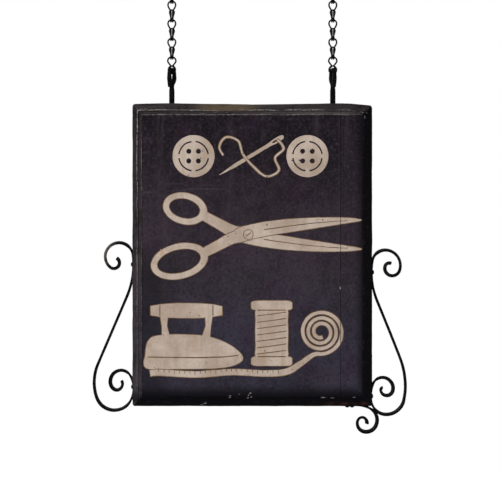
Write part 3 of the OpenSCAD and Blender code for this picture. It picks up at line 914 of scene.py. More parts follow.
def eye_bolt(name, place, inside, stem, shank_d, flip=False):
    """A bolt with its shank inside the wood, a stem outside it and an eye on top, in mm."""
    last_leg = EYE_TOP - TAPER_H - EYE_R - EYE_END - FIRST_LEG - 2.0
    eye = places_of(walk(
        [("bend", KINK_R, KINK_TURN), ("bend", KINK_R, -KINK_TURN), ("run", EYE_RUN), ("bend", EYE_R, -180),
         ("run", FIRST_LEG), ("bend", CLOSING_R, -CLOSING), ("run", last_leg)],
        shifted(0, 0, stem + TAPER_H) @ turned(-90, "Y"),
    ))
    shank_len = inside + stem + TAPER_H
    fine = np.arange(0, inside - 2, SLICE)
    coarse = np.linspace(inside - 2, shank_len, 30)
    local = [(0, 0, -inside + d) for d in np.concatenate([fine, coarse])[:-1]] + eye
    mirror = Matrix.Diagonal((1, 1, -1, 1)) if flip else Matrix.Identity(4)
    points = [tuple(place @ mirror @ Vector(q)) for q in local]
    total = shank_len + sum((Vector(b) - Vector(a)).length for a, b in zip(eye, eye[1:]))
    rod_r, r0 = EYE_ROD_D / 2, shank_d / 2
    arch_middle = shank_len + 2 * KINK_R * math.radians(KINK_TURN) + EYE_RUN + EYE_R * math.pi / 2

    def radius(d, angle):
        from_end = total - d
        if d < POINT:
            r = r0 * (0.45 + 0.55 * max(d, 0) / POINT)
        elif d < inside + stem:
            r = r0 + STEM_MORE * min(1.0, max(0.0, (d - inside) / 3))
        elif d < shank_len:
            taper = (d - inside - stem) / TAPER_H
            r = r0 + STEM_MORE + (rod_r + LEG_MORE - r0 - STEM_MORE) * taper
        else:
            r = rod_r + LEG_MORE * min(1.0, max(0.0, (abs(d - arch_middle) - 16) / 6))
        if d < inside - RUN_OUT:
            phase = (d / THREAD_PITCH - angle / (2 * math.pi)) % 1.0
            cut = THREAD_DEPTH * min(1.0, (inside - RUN_OUT - d) / 3, d / 6)
            r -= cut * (1 - abs(2 * phase - 1)) ** 0.8
        # The free end is drawn thinner than the rest
        if from_end < THIN_END:
            r *= 0.72 + 0.28 * from_end / THIN_END
        if d > inside:
            r -= WORN + WORN * math.sin(d * 0.7 + 2.1 * math.sin(angle + d * 0.13))
        return r

    return round_bar(name, points, radius, iron_finish, sides=28)


# %% Four of them
for side_name, x, turn in (("left", -HANG_X, LEFT_TURN), ("right", HANG_X, RIGHT_TURN + 180)):
    at_board = shifted(x, 0, BOARD_TOP) @ turned(turn, "Z")
    lower = eye_bolt(f"eye_bolt_{side_name}_forged", at_board, 60, 30, 11)
    stands_for(lower, f"{side_name}_eye_bolt", "board")
    overhead = shifted(x, 0, 0) @ turned(90, "Z")
    upper = eye_bolt(f"hanger_{side_name}_forged", overhead, 55, HANGER_STEM, 12.7, flip=True)
    stands_for(upper, f"{side_name}_hanger", "root")
print("four eye bolts, each", round(EYE_TOP, 2), "mm from the stem to the eye's centre line")

# %% [markdown]
# ## Scrolls
#
# A scroll is flat iron, 12 mm wide and not quite 5 mm thick, bent on edge round a
# scroll iron until it reads as one curve. The lists hold the same radii and turns as
# the construction. A small program fitted them to points measured on the photograph,
# and they are rounded to a tenth. A hand-forged scroll isn't perfectly flat: where
# the bend is tight the iron leans a little, so its width shows and the curl looks
# heavier. The sweep leans the section in the curls and keeps it square where it lies
# in its housing in the board's side.

# %% Lines of the scrolls
IRON_T, IRON_W = 4.8, 12.0
SCROLLS = {
    "left_scroll": (
        -1, (-1.3, 300.3),
        [(176.6, -6.5), (29.4, -135), (29.5, -88.8), (11.9, -120), (11.9, -72.4)],
        [(176.6, 23.2), (0, 153), (94.8, -46.1), (37.7, -124.8), (56, -59.9),
         (23.2, -207.8), (9.1, -61.3), (12.8, -99.4)],
    ),
    "right_scroll": (
        1, (-0.6, 283.6),
        [(162.2, -9.7), (24.5, -77.6), (32.9, -114), (15.9, -177), (9.1, -102.9)],
        [(162.2, 22.2), (0, 134.2), (150.7, -34.1), (36.6, -163.8), (71.2, -25),
         (23.2, -177.6), (13, -153.7), (6, -83.7)],
    ),
    "corner_scroll": (
        1, (-57.2, 1.6), None,
        [(0, 25), (57.7, -35.7), (26.7, -88.7), (20.9, -154), (9.9, -120.7), (13.7, -59)],
    ),
}
# Where the smith's hand left the drawn line: mm along the iron, then mm outward and up,
# chosen from what a measuring program read off the photograph
HAND_BENT = {
    "left_scroll": (
        (400, 0, 0), (430, 0.6, 0), (450, 1.4, -0.2), (472, 2.1, -0.9), (495, 1.5, -1.9), (517, 0.4, -2.3),
        (539, -0.9, -2.0), (561, -0.6, -2.3), (605, 0, -2.7), (627, 0.4, -3.2), (650, -0.7, -3.6),
        (672, -1.2, -2.8), (694, 0.5, -2.3), (706, 0.2, -1.3), (730, -0.3, -1.0),
    ),
    "right_scroll": (
        (0, 1.2, -0.3), (72, 1.6, -0.2), (96, 1.2, 0.2), (120, 1.0, -0.2), (143, 1.0, -1.2), (170, 0, -0.4),
        (190, 0, 0), (330, 0, 0), (381, -0.6, 0), (404, -1.5, -0.3), (428, -2.1, -0.2), (452, -2.1, 0),
        (475, -2.5, 0.5), (499, -2.2, 1.9), (523, -1.1, 1.0), (546, -0.7, -0.6), (570, 0, -0.4),
        (610, 0, 0), (641, -1.0, -0.3), (665, -1.8, -0.6), (688, -2.0, 0.7), (701, -1.9, 0.8),
        (729, -1.6, 0.2),
    ),
    "corner_scroll": (
        (60, 0, 0), (75, -1.1, 0), (94, -1.6, 0), (118, -1.6, 0), (130, -1.4, -0.8), (141, -1.2, -1.7),
        (153, -0.8, -1.9), (166, 0.1, -2.0), (177, -0.5, -2.0), (192, -1.7, -1.5),
    ),
}


def curl(start, bends, spacing=1.6):
    """Points [outward, up, heading] along bends of [radius, turn], or [0, length]."""
    line = [start]
    for r, a in bends:
        u, v, h = line[-1]
        if r == 0:
            count = max(1, math.ceil(a / spacing))
            runs = [a * i / count for i in range(1, count + 1)]
            line += [(u + d * cos_d(h), v + d * sin_d(h), h) for d in runs]
            continue
        count = math.ceil(max(abs(a) / 4, r * math.radians(abs(a)) / spacing))
        s = 1 if a > 0 else -1
        cu, cv = u - s * r * sin_d(h), v + s * r * cos_d(h)
        for i in range(1, count + 1):
            g = h + a * i / count
            line.append((cu + s * r * sin_d(g), cv - s * r * cos_d(g), g))
    return line


def scroll_line(touch, up, down):
    """From the upper curl's tip to the lower one's, or from the foot of a single curl."""
    if not up:
        return curl((*touch, 0), down)
    upper = [(u, v, h + 180) for u, v, h in curl((*touch, 90), up)[:0:-1]]
    return upper + curl((*touch, 270), down)


def second_touch(touch, down):
    """Where the lower curl comes back to the board's side and heads straight up."""
    at = (*touch, 270)
    for r, turn in down:
        if r and at[2] + turn < 90:
            return curl(at, [(r, 90 - at[2])])[-1][:2]
        at = curl(at, [(r, turn)])[-1]


def travelled_along(pts):
    return np.concatenate([[0.0], np.cumsum(np.linalg.norm(np.diff(pts, axis=0), axis=1))])


def hand_bent(name, line):
    """The line with its hand-made departures, eased in and out."""
    pts = np.array([(u, v) for u, v, h in line])
    along = travelled_along(pts)
    at, du, dv = (np.array(c, float) for c in zip(*HAND_BENT[name]))
    soft = np.hanning(15)
    out = []
    for k, d in enumerate((du, dv)):
        off = np.pad(np.interp(along, at, d), 7, mode="edge")
        out.append(pts[:, k] + np.convolve(off, soft / soft.sum(), mode="valid"))
    return [(u, v, h) for u, v, (_, _, h) in zip(*out, line)]


# %% Flat iron swept along them
def strap_section(t, w, r=1.25, per_corner=3):
    """Rounded rectangle [through, across], t thick and w wide."""
    out = []
    for cx, cy, a0 in ((1, 1, 0), (-1, 1, 90), (-1, -1, 180), (1, -1, 270)):
        for k in range(per_corner + 1):
            a = a0 + 90 * k / per_corner
            out.append((cx * (t / 2 - r) + r * cos_d(a), cy * (w / 2 - r) + r * sin_d(a)))
    return out


MOST_LEAN, SQUARE_LEAN, LEAN_PER_CURVE = 20, 3.6, 6.4
# Ends of the iron: share of the section, setback in mm
STRAP_END = ((0.35, 0.0), (0.75, 0.25), (0.93, 0.8))


def forged_scroll(name, sign, line):
    pts = np.array([(u, v) for u, v, h in line])
    head = np.array([h for u, v, h in line])
    dist = travelled_along(pts)
    total = dist[-1]
    foot = name.startswith("corner")
    # Curvature says how tight the curl is, and the lean follows it smoothly
    curve = np.zeros(len(pts))
    curve[1:] = np.abs(np.diff(head)) / np.maximum(np.diff(dist), 1e-6)
    soft = np.exp(-0.5 * (np.arange(-14, 15) / 5.0) ** 2)
    curve = np.convolve(np.pad(curve, 14, mode="edge"), soft / soft.sum(), mode="valid")
    from_board = (-2.0 - pts[:, 1]) / 8.0 if foot else (pts[:, 0] - 3.0) / 9.0
    lean = np.clip(SQUARE_LEAN + curve * LEAN_PER_CURVE, 0, MOST_LEAN) * np.clip(from_board, 0, 1)
    verts, faces = [], []

    def ring(k, share=1.0, push=0.0):
        u, v, h = line[k]
        near = total - dist[k] if foot else min(dist[k], total - dist[k])
        form = np.interp(near / IRON_T, [0, 1.04, 2.3, 12.5], [1.0, 1.0, 0.76, 1.0])
        wobble = rough_noise.noise(Vector((u * 0.045, v * 0.045, sign * 3.0)))
        tilt = math.radians(lean[k])
        for th, ac in strap_section(IRON_T * form * (1.0 + 0.03 * wobble), IRON_W):
            th, ac = th * share, ac * (0.5 + 0.5 * share)
            dent = 0.16 * rough_noise.noise(Vector((u * 0.16 + th * 0.2, v * 0.16, ac * 0.2)))
            through = th * math.cos(tilt) - ac * math.sin(tilt) - math.copysign(abs(dent), th)
            across = th * math.sin(tilt) + ac * math.cos(tilt)
            x = u - through * sin_d(h) + push * cos_d(h)
            z = v + through * cos_d(h) + push * sin_d(h)
            verts.append((sign * (BOARD_HALF + x), across, BOARD_BOTTOM + z))

    last = len(line) - 1
    for share, push in STRAP_END:
        ring(0, share, push)
    for k in range(1, last):
        ring(k)
    for share, push in reversed(STRAP_END):
        ring(last, share, -push)
    n = len(strap_section(IRON_T, IRON_W))
    for a0 in range(0, len(verts) - n, n):
        faces += [(a0 + a, a0 + (a + 1) % n, a0 + n + (a + 1) % n, a0 + n + a) for a in range(n)]
    faces += [tuple(reversed(range(n))), tuple(range(len(verts) - n, len(verts)))]
    print(f"{name}: {total:.0f} mm of iron, leans up to {lean.max():.0f} degrees")
    return mesh_piece(name + "_forged", verts, faces, iron_finish)


for node_name, (sign, touch, up, down) in SCROLLS.items():
    strap = forged_scroll(node_name, sign, hand_bent(node_name, scroll_line(touch, up, down)))
    stands_for(strap, node_name, "board")

# %% [markdown]
# ## Screws in the scrolls
#
# Six domed wood screws hold the scrolls. A lathe would turn the head and a saw would
# cut its slot, and the same two steps make it here: a bar whose radius follows the
# screw's outline, and a Boolean that takes the slot out of the head.

# %% Turned head, sawn slot
SCREW_D, SCREW_LEN, THREADED, THREAD_STEP = 4.5, 34.0, 24, 1.9
HEAD_D, HEAD_H, HEAD_LIFT = 9.4, 2.8, 0.3
HEAD_LEVELS = (-0.7, -0.35, -0.02, 0.0, 0.25, 0.7, 1.3, 1.8, 2.2, 2.5, 2.66)
SLOT_W, SLOT_LEN, SLOT_DEPTH = 1.25, 12, 2.6


def screw_radius(d, angle):
    h = d - SCREW_LEN
    if h >= -0.01:
        h = max(h, 0)
        dome = math.sqrt(max(0.05, 1 - (h / (HEAD_H + 0.1)) ** 2.2))
        return HEAD_D / 2 * (0.94 if h == 0 else 1.0) * dome
    r = SCREW_D / 2 * min(1.0, 0.2 + d / 7)
    if d < THREADED:
        phase = (d / THREAD_STEP - angle / (2 * math.pi)) % 1.0
        r -= 0.5 * (1 - abs(2 * phase - 1)) * min(1.0, d / 5, (THREADED - d) / 3)
    return r


def slotted_screw(head_at, way, slot_turn):
    """A screw whose head sits at head_at and points along way."""
    heights = [-SCREW_LEN + 0.4 * i for i in range(int((SCREW_LEN - 0.8) / 0.4))] + list(HEAD_LEVELS)
    base, up = Vector(head_at), Vector(way).normalized()
    screw = round_bar("screw", [tuple(base + h * up) for h in heights], screw_radius, iron_finish, sides=24)
    saw = into_scene("slot_saw", bpy.data.meshes.new("slot_saw"))
    aim = up.to_track_quat("Z", "Y").to_matrix().to_4x4()
    bm = bmesh.new()
    bmesh.ops.create_cube(bm, size=1.0)
    bm.transform(
        Matrix.Translation((base + up * (HEAD_H - 0.1)) * MM) @ aim @ turned(slot_turn, "Z")
        @ Matrix.Diagonal((SLOT_W * MM, SLOT_LEN * MM, SLOT_DEPTH * MM, 1))
    )
    bm.to_mesh(saw.data)
    bm.free()
    cut = screw.modifiers.new("slot", "BOOLEAN")
    cut.object, cut.operation, cut.solver = saw, "DIFFERENCE", "EXACT"
    graph = bpy.context.evaluated_depsgraph_get()
    screw.data = bpy.data.meshes.new_from_object(screw.evaluated_get(graph))
    screw.modifiers.clear()
    bpy.data.objects.remove(saw)
    return screw


# %% Six screws
proud = IRON_T / 2 + HEAD_LIFT
screws = []
for name in ("left_scroll", "right_scroll"):
    sign, touch, _, down = SCROLLS[name]
    for k, (u, v) in enumerate((touch, second_touch(touch, down))):
        at = (sign * (BOARD_HALF + u + proud), 0, BOARD_BOTTOM + v)
        screws.append(slotted_screw(at, (sign, 0, 0), 25 + 50 * k + 20 * sign))
# The corner scroll starts with a straight foot, which takes two screws
sign, foot, _, down = SCROLLS["corner_scroll"]
foot_len = down[0][1]
for k, share in enumerate((0.6, 0.2)):
    at = (sign * (BOARD_HALF + foot[0] + foot_len * share), 0, BOARD_BOTTOM + foot[1] - proud)
    screws.append(slotted_screw(at, (0, 0, -1), 65 - 80 * k))
stands_for(joined("screws_slotted", screws), "scroll_screws", "board")
print(len(screws), "screws, heads", HEAD_D, "mm across")

# %% [markdown]
# ## Painted decoration
#
# Sign writers lay out each device in a pale cream and then edge it with a thin
# brush. The paint stands a few tenths of a millimetre above the ground colour,
# which is enough to catch light along its edge and to chip. A picture texture would
# slide that into the material, so each device is a very thin closed plate instead:
# flat shapes are joined and cut as polygons, and only then given their thickness.
# The devices are a tailor's tools that could hang on any such shop.

# %% Cream and ochre paint
def cream_paint():
    f = Finish("cream_paint", rough=0.6)
    stain = f.noise(17, 5, 0.65)
    grain = f.noise(70, 5, 0.6, f.stretched(1.0, 1.0, 0.12))
    speck = f.noise(330, 4, 0.7)
    pit = f.noise(120, 6, 0.8)
    rust = f.noise(26, 5, 0.7, f.stretched(1.0, 1.0, 0.5, (0.4, 0.0, 0.2)))
    f.colour(f.layers(
        f.blend(f.steps(stain, 0.34, 0.66), (0.590, 0.485, 0.405), (0.440, 0.335, 0.265)),
        (grain, 0.45, 0.75, 0.55, (0.37, 0.285, 0.205)),
        (speck, 0.52, 0.70, 0.60, (0.27, 0.205, 0.160)),
        (rust, 0.56, 0.70, 0.55, (0.50, 0.32, 0.19)),
        (pit, 0.645, 0.69, 1, (0.075, 0.050, 0.038)),
    ))
    f.roughness(stain, 0.52, 0.72)
    f.gloss(0.25)
    f.bump(grain, 0.35, 0.0004)
    f.bump(speck, 0.25, 0.0002)
    return f.mat


def ochre_paint():
    f = Finish("ochre_paint", rough=0.6)
    cloud = f.noise(45, 5, 0.65)
    fine = f.noise(260, 4, 0.65)
    tint = f.blend(f.steps(cloud, 0.35, 0.65), (0.215, 0.130, 0.065), (0.095, 0.055, 0.034))
    tint = f.blend(f.steps(fine, 0.55, 0.72, 0, 0.6), tint, (0.035, 0.024, 0.022))
    f.colour(tint)
    f.roughness(cloud, 0.5, 0.7)
    f.gloss(0.2)
    f.bump(fine, 0.3, 0.0002)
    return f.mat


cream, ochre = cream_paint(), ochre_paint()
print("cream and ochre mixed")


# %% Flat shapes
def oval(cx, cz, rx, rz=None, tilt=0.0, count=44):
    rz = rx if rz is None else rz
    out = []
    for i in range(count):
        a = 360 * i / count
        x, z = rx * cos_d(a), rz * sin_d(a)
        out.append((cx + x * cos_d(tilt) - z * sin_d(tilt), cz + x * sin_d(tilt) + z * cos_d(tilt)))
    return out


def rounded(points, closed=True, steps=6):
    """A smooth line through a few points."""
    p = [Vector(q) for q in points]
    n = len(p)
    out = []
    for i in range(n if closed else n - 1):
        a = p[i - 1] if closed or i else p[0]
        b, c = p[i], p[(i + 1) % n]
        d = p[(i + 2) % n] if closed or i + 2 < n else p[-1]
        for k in range(steps):
            t = k / steps
            q = 2 * b + (c - a) * t + (2 * a - 5 * b + 4 * c - d) * t * t + (3 * b - a - 3 * c + d) * t ** 3
            out.append(tuple(q / 2))
    return out if closed else out + [tuple(p[-1])]


def stroke(line, half, every=8):
    """A brush stroke in short lengths, so that it may cross itself."""
    p = [Vector(q) for q in line]
    last = len(p) - 1
    one, other = [], []
    for i, q in enumerate(p):
        way = (p[min(i + 1, last)] - p[max(i - 1, 0)]).normalized()
        w = half(i / last) if callable(half) else half
        one.append((q.x + way.y * w, q.y - way.x * w))
        other.append((q.x - way.y * w, q.y + way.x * w))
    return [one[i:i + every + 1] + other[i:i + every + 1][::-1] for i in range(0, last, every)]


def arc(cx, cz, r, start, end, count=14):
    turns = [start + (end - start) * i / count for i in range(count + 1)]
    return [(cx + r * cos_d(a), cz + r * sin_d(a)) for a in turns]


def placed(loops, x=0.0, z=0.0, turn=0.0, flip=1, scale=1.0):
    """Loops mirrored, turned, scaled and set down at x, z."""
    c, s = scale * cos_d(turn), scale * sin_d(turn)
    return [[(x + a * c - flip * b * s, z + a * s + flip * b * c) for a, b in loop] for loop in loops]


def by_hand(loops, size=0.35):
    """The small waver of a brush held in the hand."""
    def waver(x, z, layer):
        return size * rough_noise.noise(Vector((x * 0.11, z * 0.11, layer)))

    return [[(x + waver(x, z, 3.0), z + waver(x, z, 9.0)) for x, z in loop] for loop in loops]


def turning(loop):
    return sum(loop[i - 1][0] * loop[i][1] - loop[i][0] * loop[i - 1][1] for i in range(len(loop)))


def grown(loops, by):
    """Loops moved outwards by a distance, or inwards where it is negative."""
    out = []
    for loop in loops:
        p = [Vector(q) for q in (loop if turning(loop) > 0 else loop[::-1])]
        n, moved = len(p), []
        for i in range(n):
            a, b = (p[i] - p[i - 1]).normalized(), (p[(i + 1) % n] - p[i]).normalized()
            m = Vector((a.y + b.y, -a.x - b.x))
            moved.append(tuple(p[i] + m * 2 * by / max(m.length_squared, 1.6)))
        out.append(moved)
    return out


print("shapes ready")


# %% Thin plates from flat shapes
def plates(name, solids, holes, top, material):
    """Closed plates over both faces, cut where the planks part; top is mm from the mid-plane."""
    back = FIELD_Y - 0.1
    x0, x1, below = JOINT_X - 0.2, JOINT_X + JOINT_GAP + 0.2, -1200
    joint = [(x0, 0), (x1, 0), (x1, below), (x0, below)]
    verts, faces = [], []
    for face in (-1, 1):
        loops = [[(-face * x, z) for x, z in loop] for loop in solids + holes] + [joint]
        loops = [loop if turning(loop) > 0 else loop[::-1] for loop in loops]
        flat, index = [], []
        for loop in loops:
            index.append(list(range(len(flat), len(flat) + len(loop))))
            flat += [Vector(q) for q in loop]
        v2, _, f2, _, _, made_of = delaunay_2d_cdt(flat, [], index, 1, 1e-4, True)
        kept = [f for f, src in zip(f2, made_of) if src and max(src) < len(solids)]
        start = len(verts)
        verts += [(q.x, face * back, q.y) for q in v2] + [(q.x, face * top, q.y) for q in v2]
        n, edges = len(v2), {}
        for f in kept:
            faces.append(tuple(start + k for k in f))
            faces.append(tuple(start + n + k for k in reversed(f)))
            for a, b in zip(f, list(f[1:]) + [f[0]]):
                edges[frozenset((a, b))] = None if frozenset((a, b)) in edges else (a, b)
        for pair in edges.values():
            if pair:
                a, b = pair
                faces.append((start + b, start + a, start + n + a, start + n + b))
    used = sorted({k for f in faces for k in f})
    order = {k: i for i, k in enumerate(used)}
    verts = [verts[k] for k in used]
    faces = [tuple(order[k] for k in f) for f in faces]
    return mesh_piece(name, verts, faces, material, smooth=False)


def chipped(box, count, seed, size=(0.5, 1.9)):
    """Small ragged places where the paint has come off."""
    rng = random.Random(seed)
    x0, z0, x1, z1 = box
    out = []
    for _ in range(count):
        cx, cz, r = rng.uniform(x0, x1), rng.uniform(z0, z1), rng.uniform(*size)
        stretch = rng.uniform(0.5, 1.6)
        loop = []
        for a in (2 * math.pi * k / 9 for k in range(9)):
            x = cx + r * rng.uniform(0.6, 1.1) * math.cos(a)
            loop.append((x, cz + r * stretch * rng.uniform(0.6, 1.1) * math.sin(a)))
        out.append(loop)
    return out


RIM, RIM_LEVEL, COAT, LAYER = 1.5, 12.12, 0.14, 0.24
CHIPS = 26


def device(name, layers, centre, reach, seed):
    """One painted device: layers of (shapes, openings, lines) from the bottom up."""
    rims, fills = [], []
    (x, z), (dx, dz) = centre, reach
    chips = chipped((x - dx, z - dz, x + dx, z + dz), CHIPS, seed)
    for k, (solids, openings, lines) in enumerate(layers):
        solids, openings, lines = by_hand(solids), by_hand(openings), by_hand(lines, 0.5)
        level = RIM_LEVEL + LAYER * k
        rims.append(plates("rim", grown(solids, RIM), grown(openings, -RIM), level, ochre))
        fills.append(plates("fill", solids, openings + lines + chips, level + COAT, cream))
    rim, fill = joined(name + "_outline", rims, smooth=False), joined(name, fills, smooth=False)
    for piece, slot in ((rim, "ochre_paint"), (fill, "cream_paint")):
        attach(piece, "board")
    print(f"{name}: {len(layers)} layers, {len(fill.data.polygons)} faces in cream")


# %% [markdown]
# ### Top row: two buttons and a threaded needle
#
# A button is a disc with four holes and a turned groove. The groove is drawn as four
# arcs, as a stencil would leave them. The thread is its own layer, so that it passes
# over the needle with its outline showing.

# %% Buttons and needle
ROW_1 = (-3.8, -416.6)


def button(cx, cz, r):
    """A disc, its four holes and its groove."""
    signs = [(sx, sz) for sx in (-1, 1) for sz in (-1, 1)]
    holes = [oval(cx + sx * 0.23 * r, cz + sz * 0.23 * r, 0.12 * r, count=20) for sx, sz in signs]
    groove = []
    for a in (8, 98, 188, 278):
        groove += stroke(arc(cx, cz, 0.70 * r, a, a + 74), 0.035 * r)
    return [oval(cx, cz, r, count=64)], holes, groove


def needle_half_width(s):
    """From the point at 0 to the eye's end at 1."""
    return 0.5 + 3.3 * min(1, s / 0.25) if s < 0.8 else 3.8 + 1.6 * math.sin((s - 0.8) / 0.2 * 2.6)


def needle_shape():
    line = [(-66 + 132 * i / 40, -40 + 80 * i / 40) for i in range(41)]
    body = stroke(line, needle_half_width, every=40)
    tip = [oval(66, 40, 4.4, 4.4, count=20)]
    eye = stroke(line[34:39], lambda s: 1.1 + 1.2 * math.sin(math.pi * s), every=10)
    return body + tip, eye


shapes, holes, grooves = [], [], []
for side in (-1, 1):
    s, h, g = button(ROW_1[0] + side * 120.5, ROW_1[1], 44.5)
    shapes, holes, grooves = shapes + s, holes + h, grooves + g
body, eye = needle_shape()
shapes += placed(body, *ROW_1)
holes += placed(eye, *ROW_1)
thread = rounded([
    (57, 35), (70, 16), (52, -4), (60, -30), (34, -43), (8, -24),
    (-16, 4), (-26, 32), (-52, 40), (-66, 20), (-58, 2),
], closed=False, steps=8)
over = placed(stroke(thread, lambda s: 2.1 - 0.5 * s), *ROW_1)
device("painted_buttons", [(shapes, holes, grooves), (over, [], [])], ROW_1, (165, 46), seed=11)

# %% [markdown]
# ### Middle row: tailor's shears
#
# Each half of the shears is a blade, a shank and a bow. The two halves are separate
# layers, the upper one laid over the lower, with the pivot on top. The larger bow
# takes the fingers and the smaller one the thumb.

# %% Shears
ROW_2 = (3.6, -584.5)
PIVOT = (ROW_2[0] - 12, ROW_2[1] + 2)


def shear_half(bow_x, bow_rx, bow_rz, flip, turn):
    """Blade, shank and bow as drawn lying flat, then turned about the pivot."""
    blade = rounded([
        (-26, 13), (8, 20), (60, 22), (120, 19), (180, 12.5), (222, 5.5), (241, -1.5),
        (200, -3.5), (140, -5), (60, -7), (8, -10), (-26, -13),
    ])
    shank = stroke(rounded([(4, 2), (-34, -3), (-70, -16), (bow_x + bow_rx * 0.62, -32)], closed=False),
                   lambda s: 13.5 - 4.5 * s, every=60)
    bow = oval(bow_x, -37, bow_rx, bow_rz, 6)
    opening = oval(bow_x - 1, -37, bow_rx - 13.5, bow_rz - 12, 6)
    edge = rounded([(34, 6), (110, 6.5), (170, 4.5), (212, 1.5)], closed=False)
    bevel = stroke(edge, lambda s: 1.1 - 0.5 * s, every=60)
    return tuple(placed(part, *PIVOT, turn, flip) for part in ([blade] + shank + [bow], [opening], bevel))


pivot_disc = [oval(*PIVOT, 9.5, count=32)]
pivot_slot = placed(stroke([(-6.5, 0), (0, 0), (6.5, 0)], 1.1), *PIVOT, turn=35)
device("painted_shears", [
    shear_half(-140, 47, 33, -1, -7.5),
    shear_half(-152, 61, 37, 1, 7.5),
    (pivot_disc, [], pivot_slot),
], ROW_2, (228, 92), seed=12)

# %% [markdown]
# ### Bottom row: pressing iron, thread and tape
#
# The iron is drawn from the side, with its sole, its body and a turned grip on two
# posts. The spool's thread is shown by slanted lines. The tape is wound into a
# spiral, and its tail runs along the bottom with plain ticks and no numbers.

# %% Iron, spool and tape
ROW_3 = (-11.0, -790.6)


def pressing_iron():
    """Body, two posts and a turned grip, with the lines where they meet."""
    body = rounded([
        (-84, -63), (-20, -64), (50, -63), (88, -57), (105, -44), (92, -26),
        (60, -8), (16, 2), (-56, 2), (-80, -8), (-86, -34),
    ])
    posts = []
    for post in ([(-46, -4), (-49, 20), (-50, 46)], [(32, -4), (37, 20), (38, 46)]):
        posts += stroke(post, lambda s: 8 - 3 * math.sin(math.pi * s))
    grip = stroke(
        [(-76 + 140 * i / 20, 50) for i in range(21)],
        lambda s: 5 + 9.5 * math.sin(math.pi * min(max(s, 0.02), 0.98)) ** 0.35, every=20,
    )
    lines = stroke(rounded([(-82, -41), (0, -42), (60, -41), (96, -38)], closed=False), 1.2, every=60)
    for x in (-58, 46):
        lines += stroke([(x, 39.5), (x, 50), (x, 60.5)], 1.0)
    return placed([body] + posts + grip, -122, -7, scale=1.08), placed(lines, -122, -7, scale=1.08)


def spool():
    """A barrel between two rounded ends, wound with slanted lines of thread."""
    end = [(-38, -9), (0, -9.6), (38, -9), (43, 0), (38, 9), (0, 9.6), (-38, 9), (-43, 0)]
    ends = [rounded([(x, z + dz) for x, dz in end], steps=4) for z in (56, -62)]
    barrel = rounded(
        [(-29, -56), (29, -56), (34, -30), (34, 24), (29, 50), (-29, 50), (-34, 24), (-34, -30)], steps=4
    )
    lines = []
    for k in range(7):
        z = -44 + 13.5 * k
        lines += stroke([(-31, z - 3), (0, z + 0.8), (31, z + 5)], 0.95)
    for z in (46.0, -52.5):
        lines += stroke([(-30, z), (0, z), (30, z)], 1.1)
    return placed([barrel] + ends, 52, 2), placed(lines, 52, 2)


COIL_TURNS, COIL_POINTS, COIL_R, COIL_STEP = 3.05, 110, 47, 11.6
TICKS, TICK_EVERY = 24, 11


def tape():
    """A spiral with a tail, and plain ticks along the tail."""
    coil = []
    for i in range(COIL_POINTS + 1):
        back = COIL_TURNS * (COIL_POINTS - i) / COIL_POINTS
        a, r = -90 - 360 * back, COIL_R - COIL_STEP * back
        coil.append((156 - r * cos_d(a), 2 + r * sin_d(a)))
    tail = rounded([
        coil[-1], (140, -46.5), (112, -66), (84, -82), (40, -86),
        (-30, -83), (-110, -88), (-186, -84), (-205, -86),
    ], closed=False, steps=8)[1:]
    wound = len(coil) / len(coil + tail)
    body = stroke(coil + tail, lambda s: 3.4 if s < wound else 3.4 + 3.0 * min(1.0, (s - wound) / 0.12))
    ticks = []
    for k in range(TICKS):
        x = 66 - TICK_EVERY * k
        z = min(tail, key=lambda q: abs(q[0] - x))[1]
        ticks += stroke([(x, z + 6.2), (x, z + 3), (x, z + (-1.5 if k % 4 == 0 else 1.2))], 0.7)
    return body, ticks


iron_solids, iron_lines = pressing_iron()
spool_solids, spool_lines = spool()
tape_solids, tape_ticks = tape()
device("painted_iron", [
    (placed(iron_solids + spool_solids, *ROW_3), [], placed(iron_lines + spool_lines, *ROW_3)),
    (placed(tape_solids, *ROW_3), [], placed(tape_ticks, *ROW_3)),
], ROW_3, (210, 99), seed=13)

# %% [markdown]
# ### Chips and scrapes
#
# A few flecks of filler and thin grey scrapes show where the black has been
# knocked off. They are laid on as ragged scraps, thinner than the painted devices,
# the brightest in cream and the others in a grey undercoat.

# %% Grey undercoat
def undercoat():
    f = Finish("grey_undercoat", rough=0.7)
    cloud = f.noise(300, 5, 0.7)
    tint = f.blend(f.steps(cloud, 0.35, 0.65), (0.210, 0.195, 0.190), (0.060, 0.055, 0.060))
    f.colour(tint)
    f.roughness(cloud, 0.6, 0.8)
    f.gloss(0.1)
    f.bump(cloud, 0.3, 0.0002)
    return f.mat


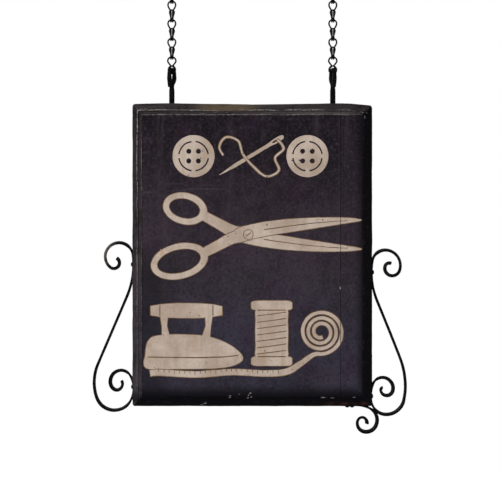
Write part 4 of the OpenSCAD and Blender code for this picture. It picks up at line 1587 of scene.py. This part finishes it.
# %% Ragged scraps: x and y in the photograph's pixels, half length, half width in mm, tilt
BRIGHT = ((250.3, 392.7, 2.1, 1.5, 10), (340, 288, 1.5, 4, 0), (161, 250, 1.4, 2.2, 0))
DULL = ((230, 395.2, 3.8, 1.5, 12), (239.2, 393.6, 2.6, 0.8, 8), (248.5, 394.6, 2.6, 1.3, 25))
BOTTOM_MARKS = (
    (230, 396.8, 3.4, 1.3, 12), (247.8, 397.1, 2.8, 1.6, 20), (251.3, 396.4, 2.4, 1.5, 10),
    (205.4, 402.6, 4.8, 1.6, 14), (323, 396.8, 7.5, 1.1, 0), (332, 397.2, 5.0, 0.9, -2),
    (353.5, 396.6, 4.2, 1.0, 0), (201.5, 404.0, 3.0, 0.8, 20),
)
LEFT_CORNER_MARKS = (
    (141, 109.8, 5.0, 0.8, -6), (146.5, 109.4, 4.5, 0.7, 8), (151, 111.0, 5.5, 0.7, 0),
    (137.7, 117, 0.7, 6.0, 2), (138.0, 123.5, 0.6, 5.0, 0), (139.0, 111.6, 2.2, 0.8, 40),
)
RIGHT_CORNER_MARKS = (
    (354, 111.6, 5.0, 0.7, -8), (361.5, 112.8, 4.0, 0.8, -14), (364.3, 117.5, 0.7, 4.0, 4),
    (366.0, 113.4, 2.5, 0.7, -50),
)
TOP_MARKS = (
    (222, 115.2, 7.5, 0.8, 0), (233, 115.5, 6.0, 0.8, 1), (215.5, 112.8, 4.5, 0.6, 0),
    (227, 113.0, 5.0, 0.6, -1), (241, 115.2, 4.0, 0.7, 0), (203, 114.6, 7.0, 0.6, 0),
)
ON_STRIPS = BOTTOM_MARKS + LEFT_CORNER_MARKS + RIGHT_CORNER_MARKS + TOP_MARKS
grey = undercoat()
rng = random.Random(5)
for piece_name, marks, level, paint, slot in (
    ("pale_flecks", BRIGHT, FIELD_Y + 0.1, cream, "cream_paint"),
    ("grey_scrapes", DULL, FIELD_Y + 0.1, grey, "black_board"),
    ("moulding_scrapes", ON_STRIPS, STRIP_Y, grey, "black_board"),
):
    scraps = []
    for px, py, half_long, half_wide, tilt in marks:
        x, z = photo_point(px, py)
        ragged = [
            (half_long * rng.uniform(0.55, 1.1) * cos_d(a), half_wide * rng.uniform(0.5, 1.1) * sin_d(a))
            for a in range(0, 360, 24)
        ]
        scraps += placed([ragged], x, z, turn=tilt)
    chips = plates(piece_name, scraps, [], level, paint)
    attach(chips, "board")
    print(piece_name, "on each face:", len(marks))

# %% Finish
bpy.context.scene.view_settings.view_transform = "Standard"
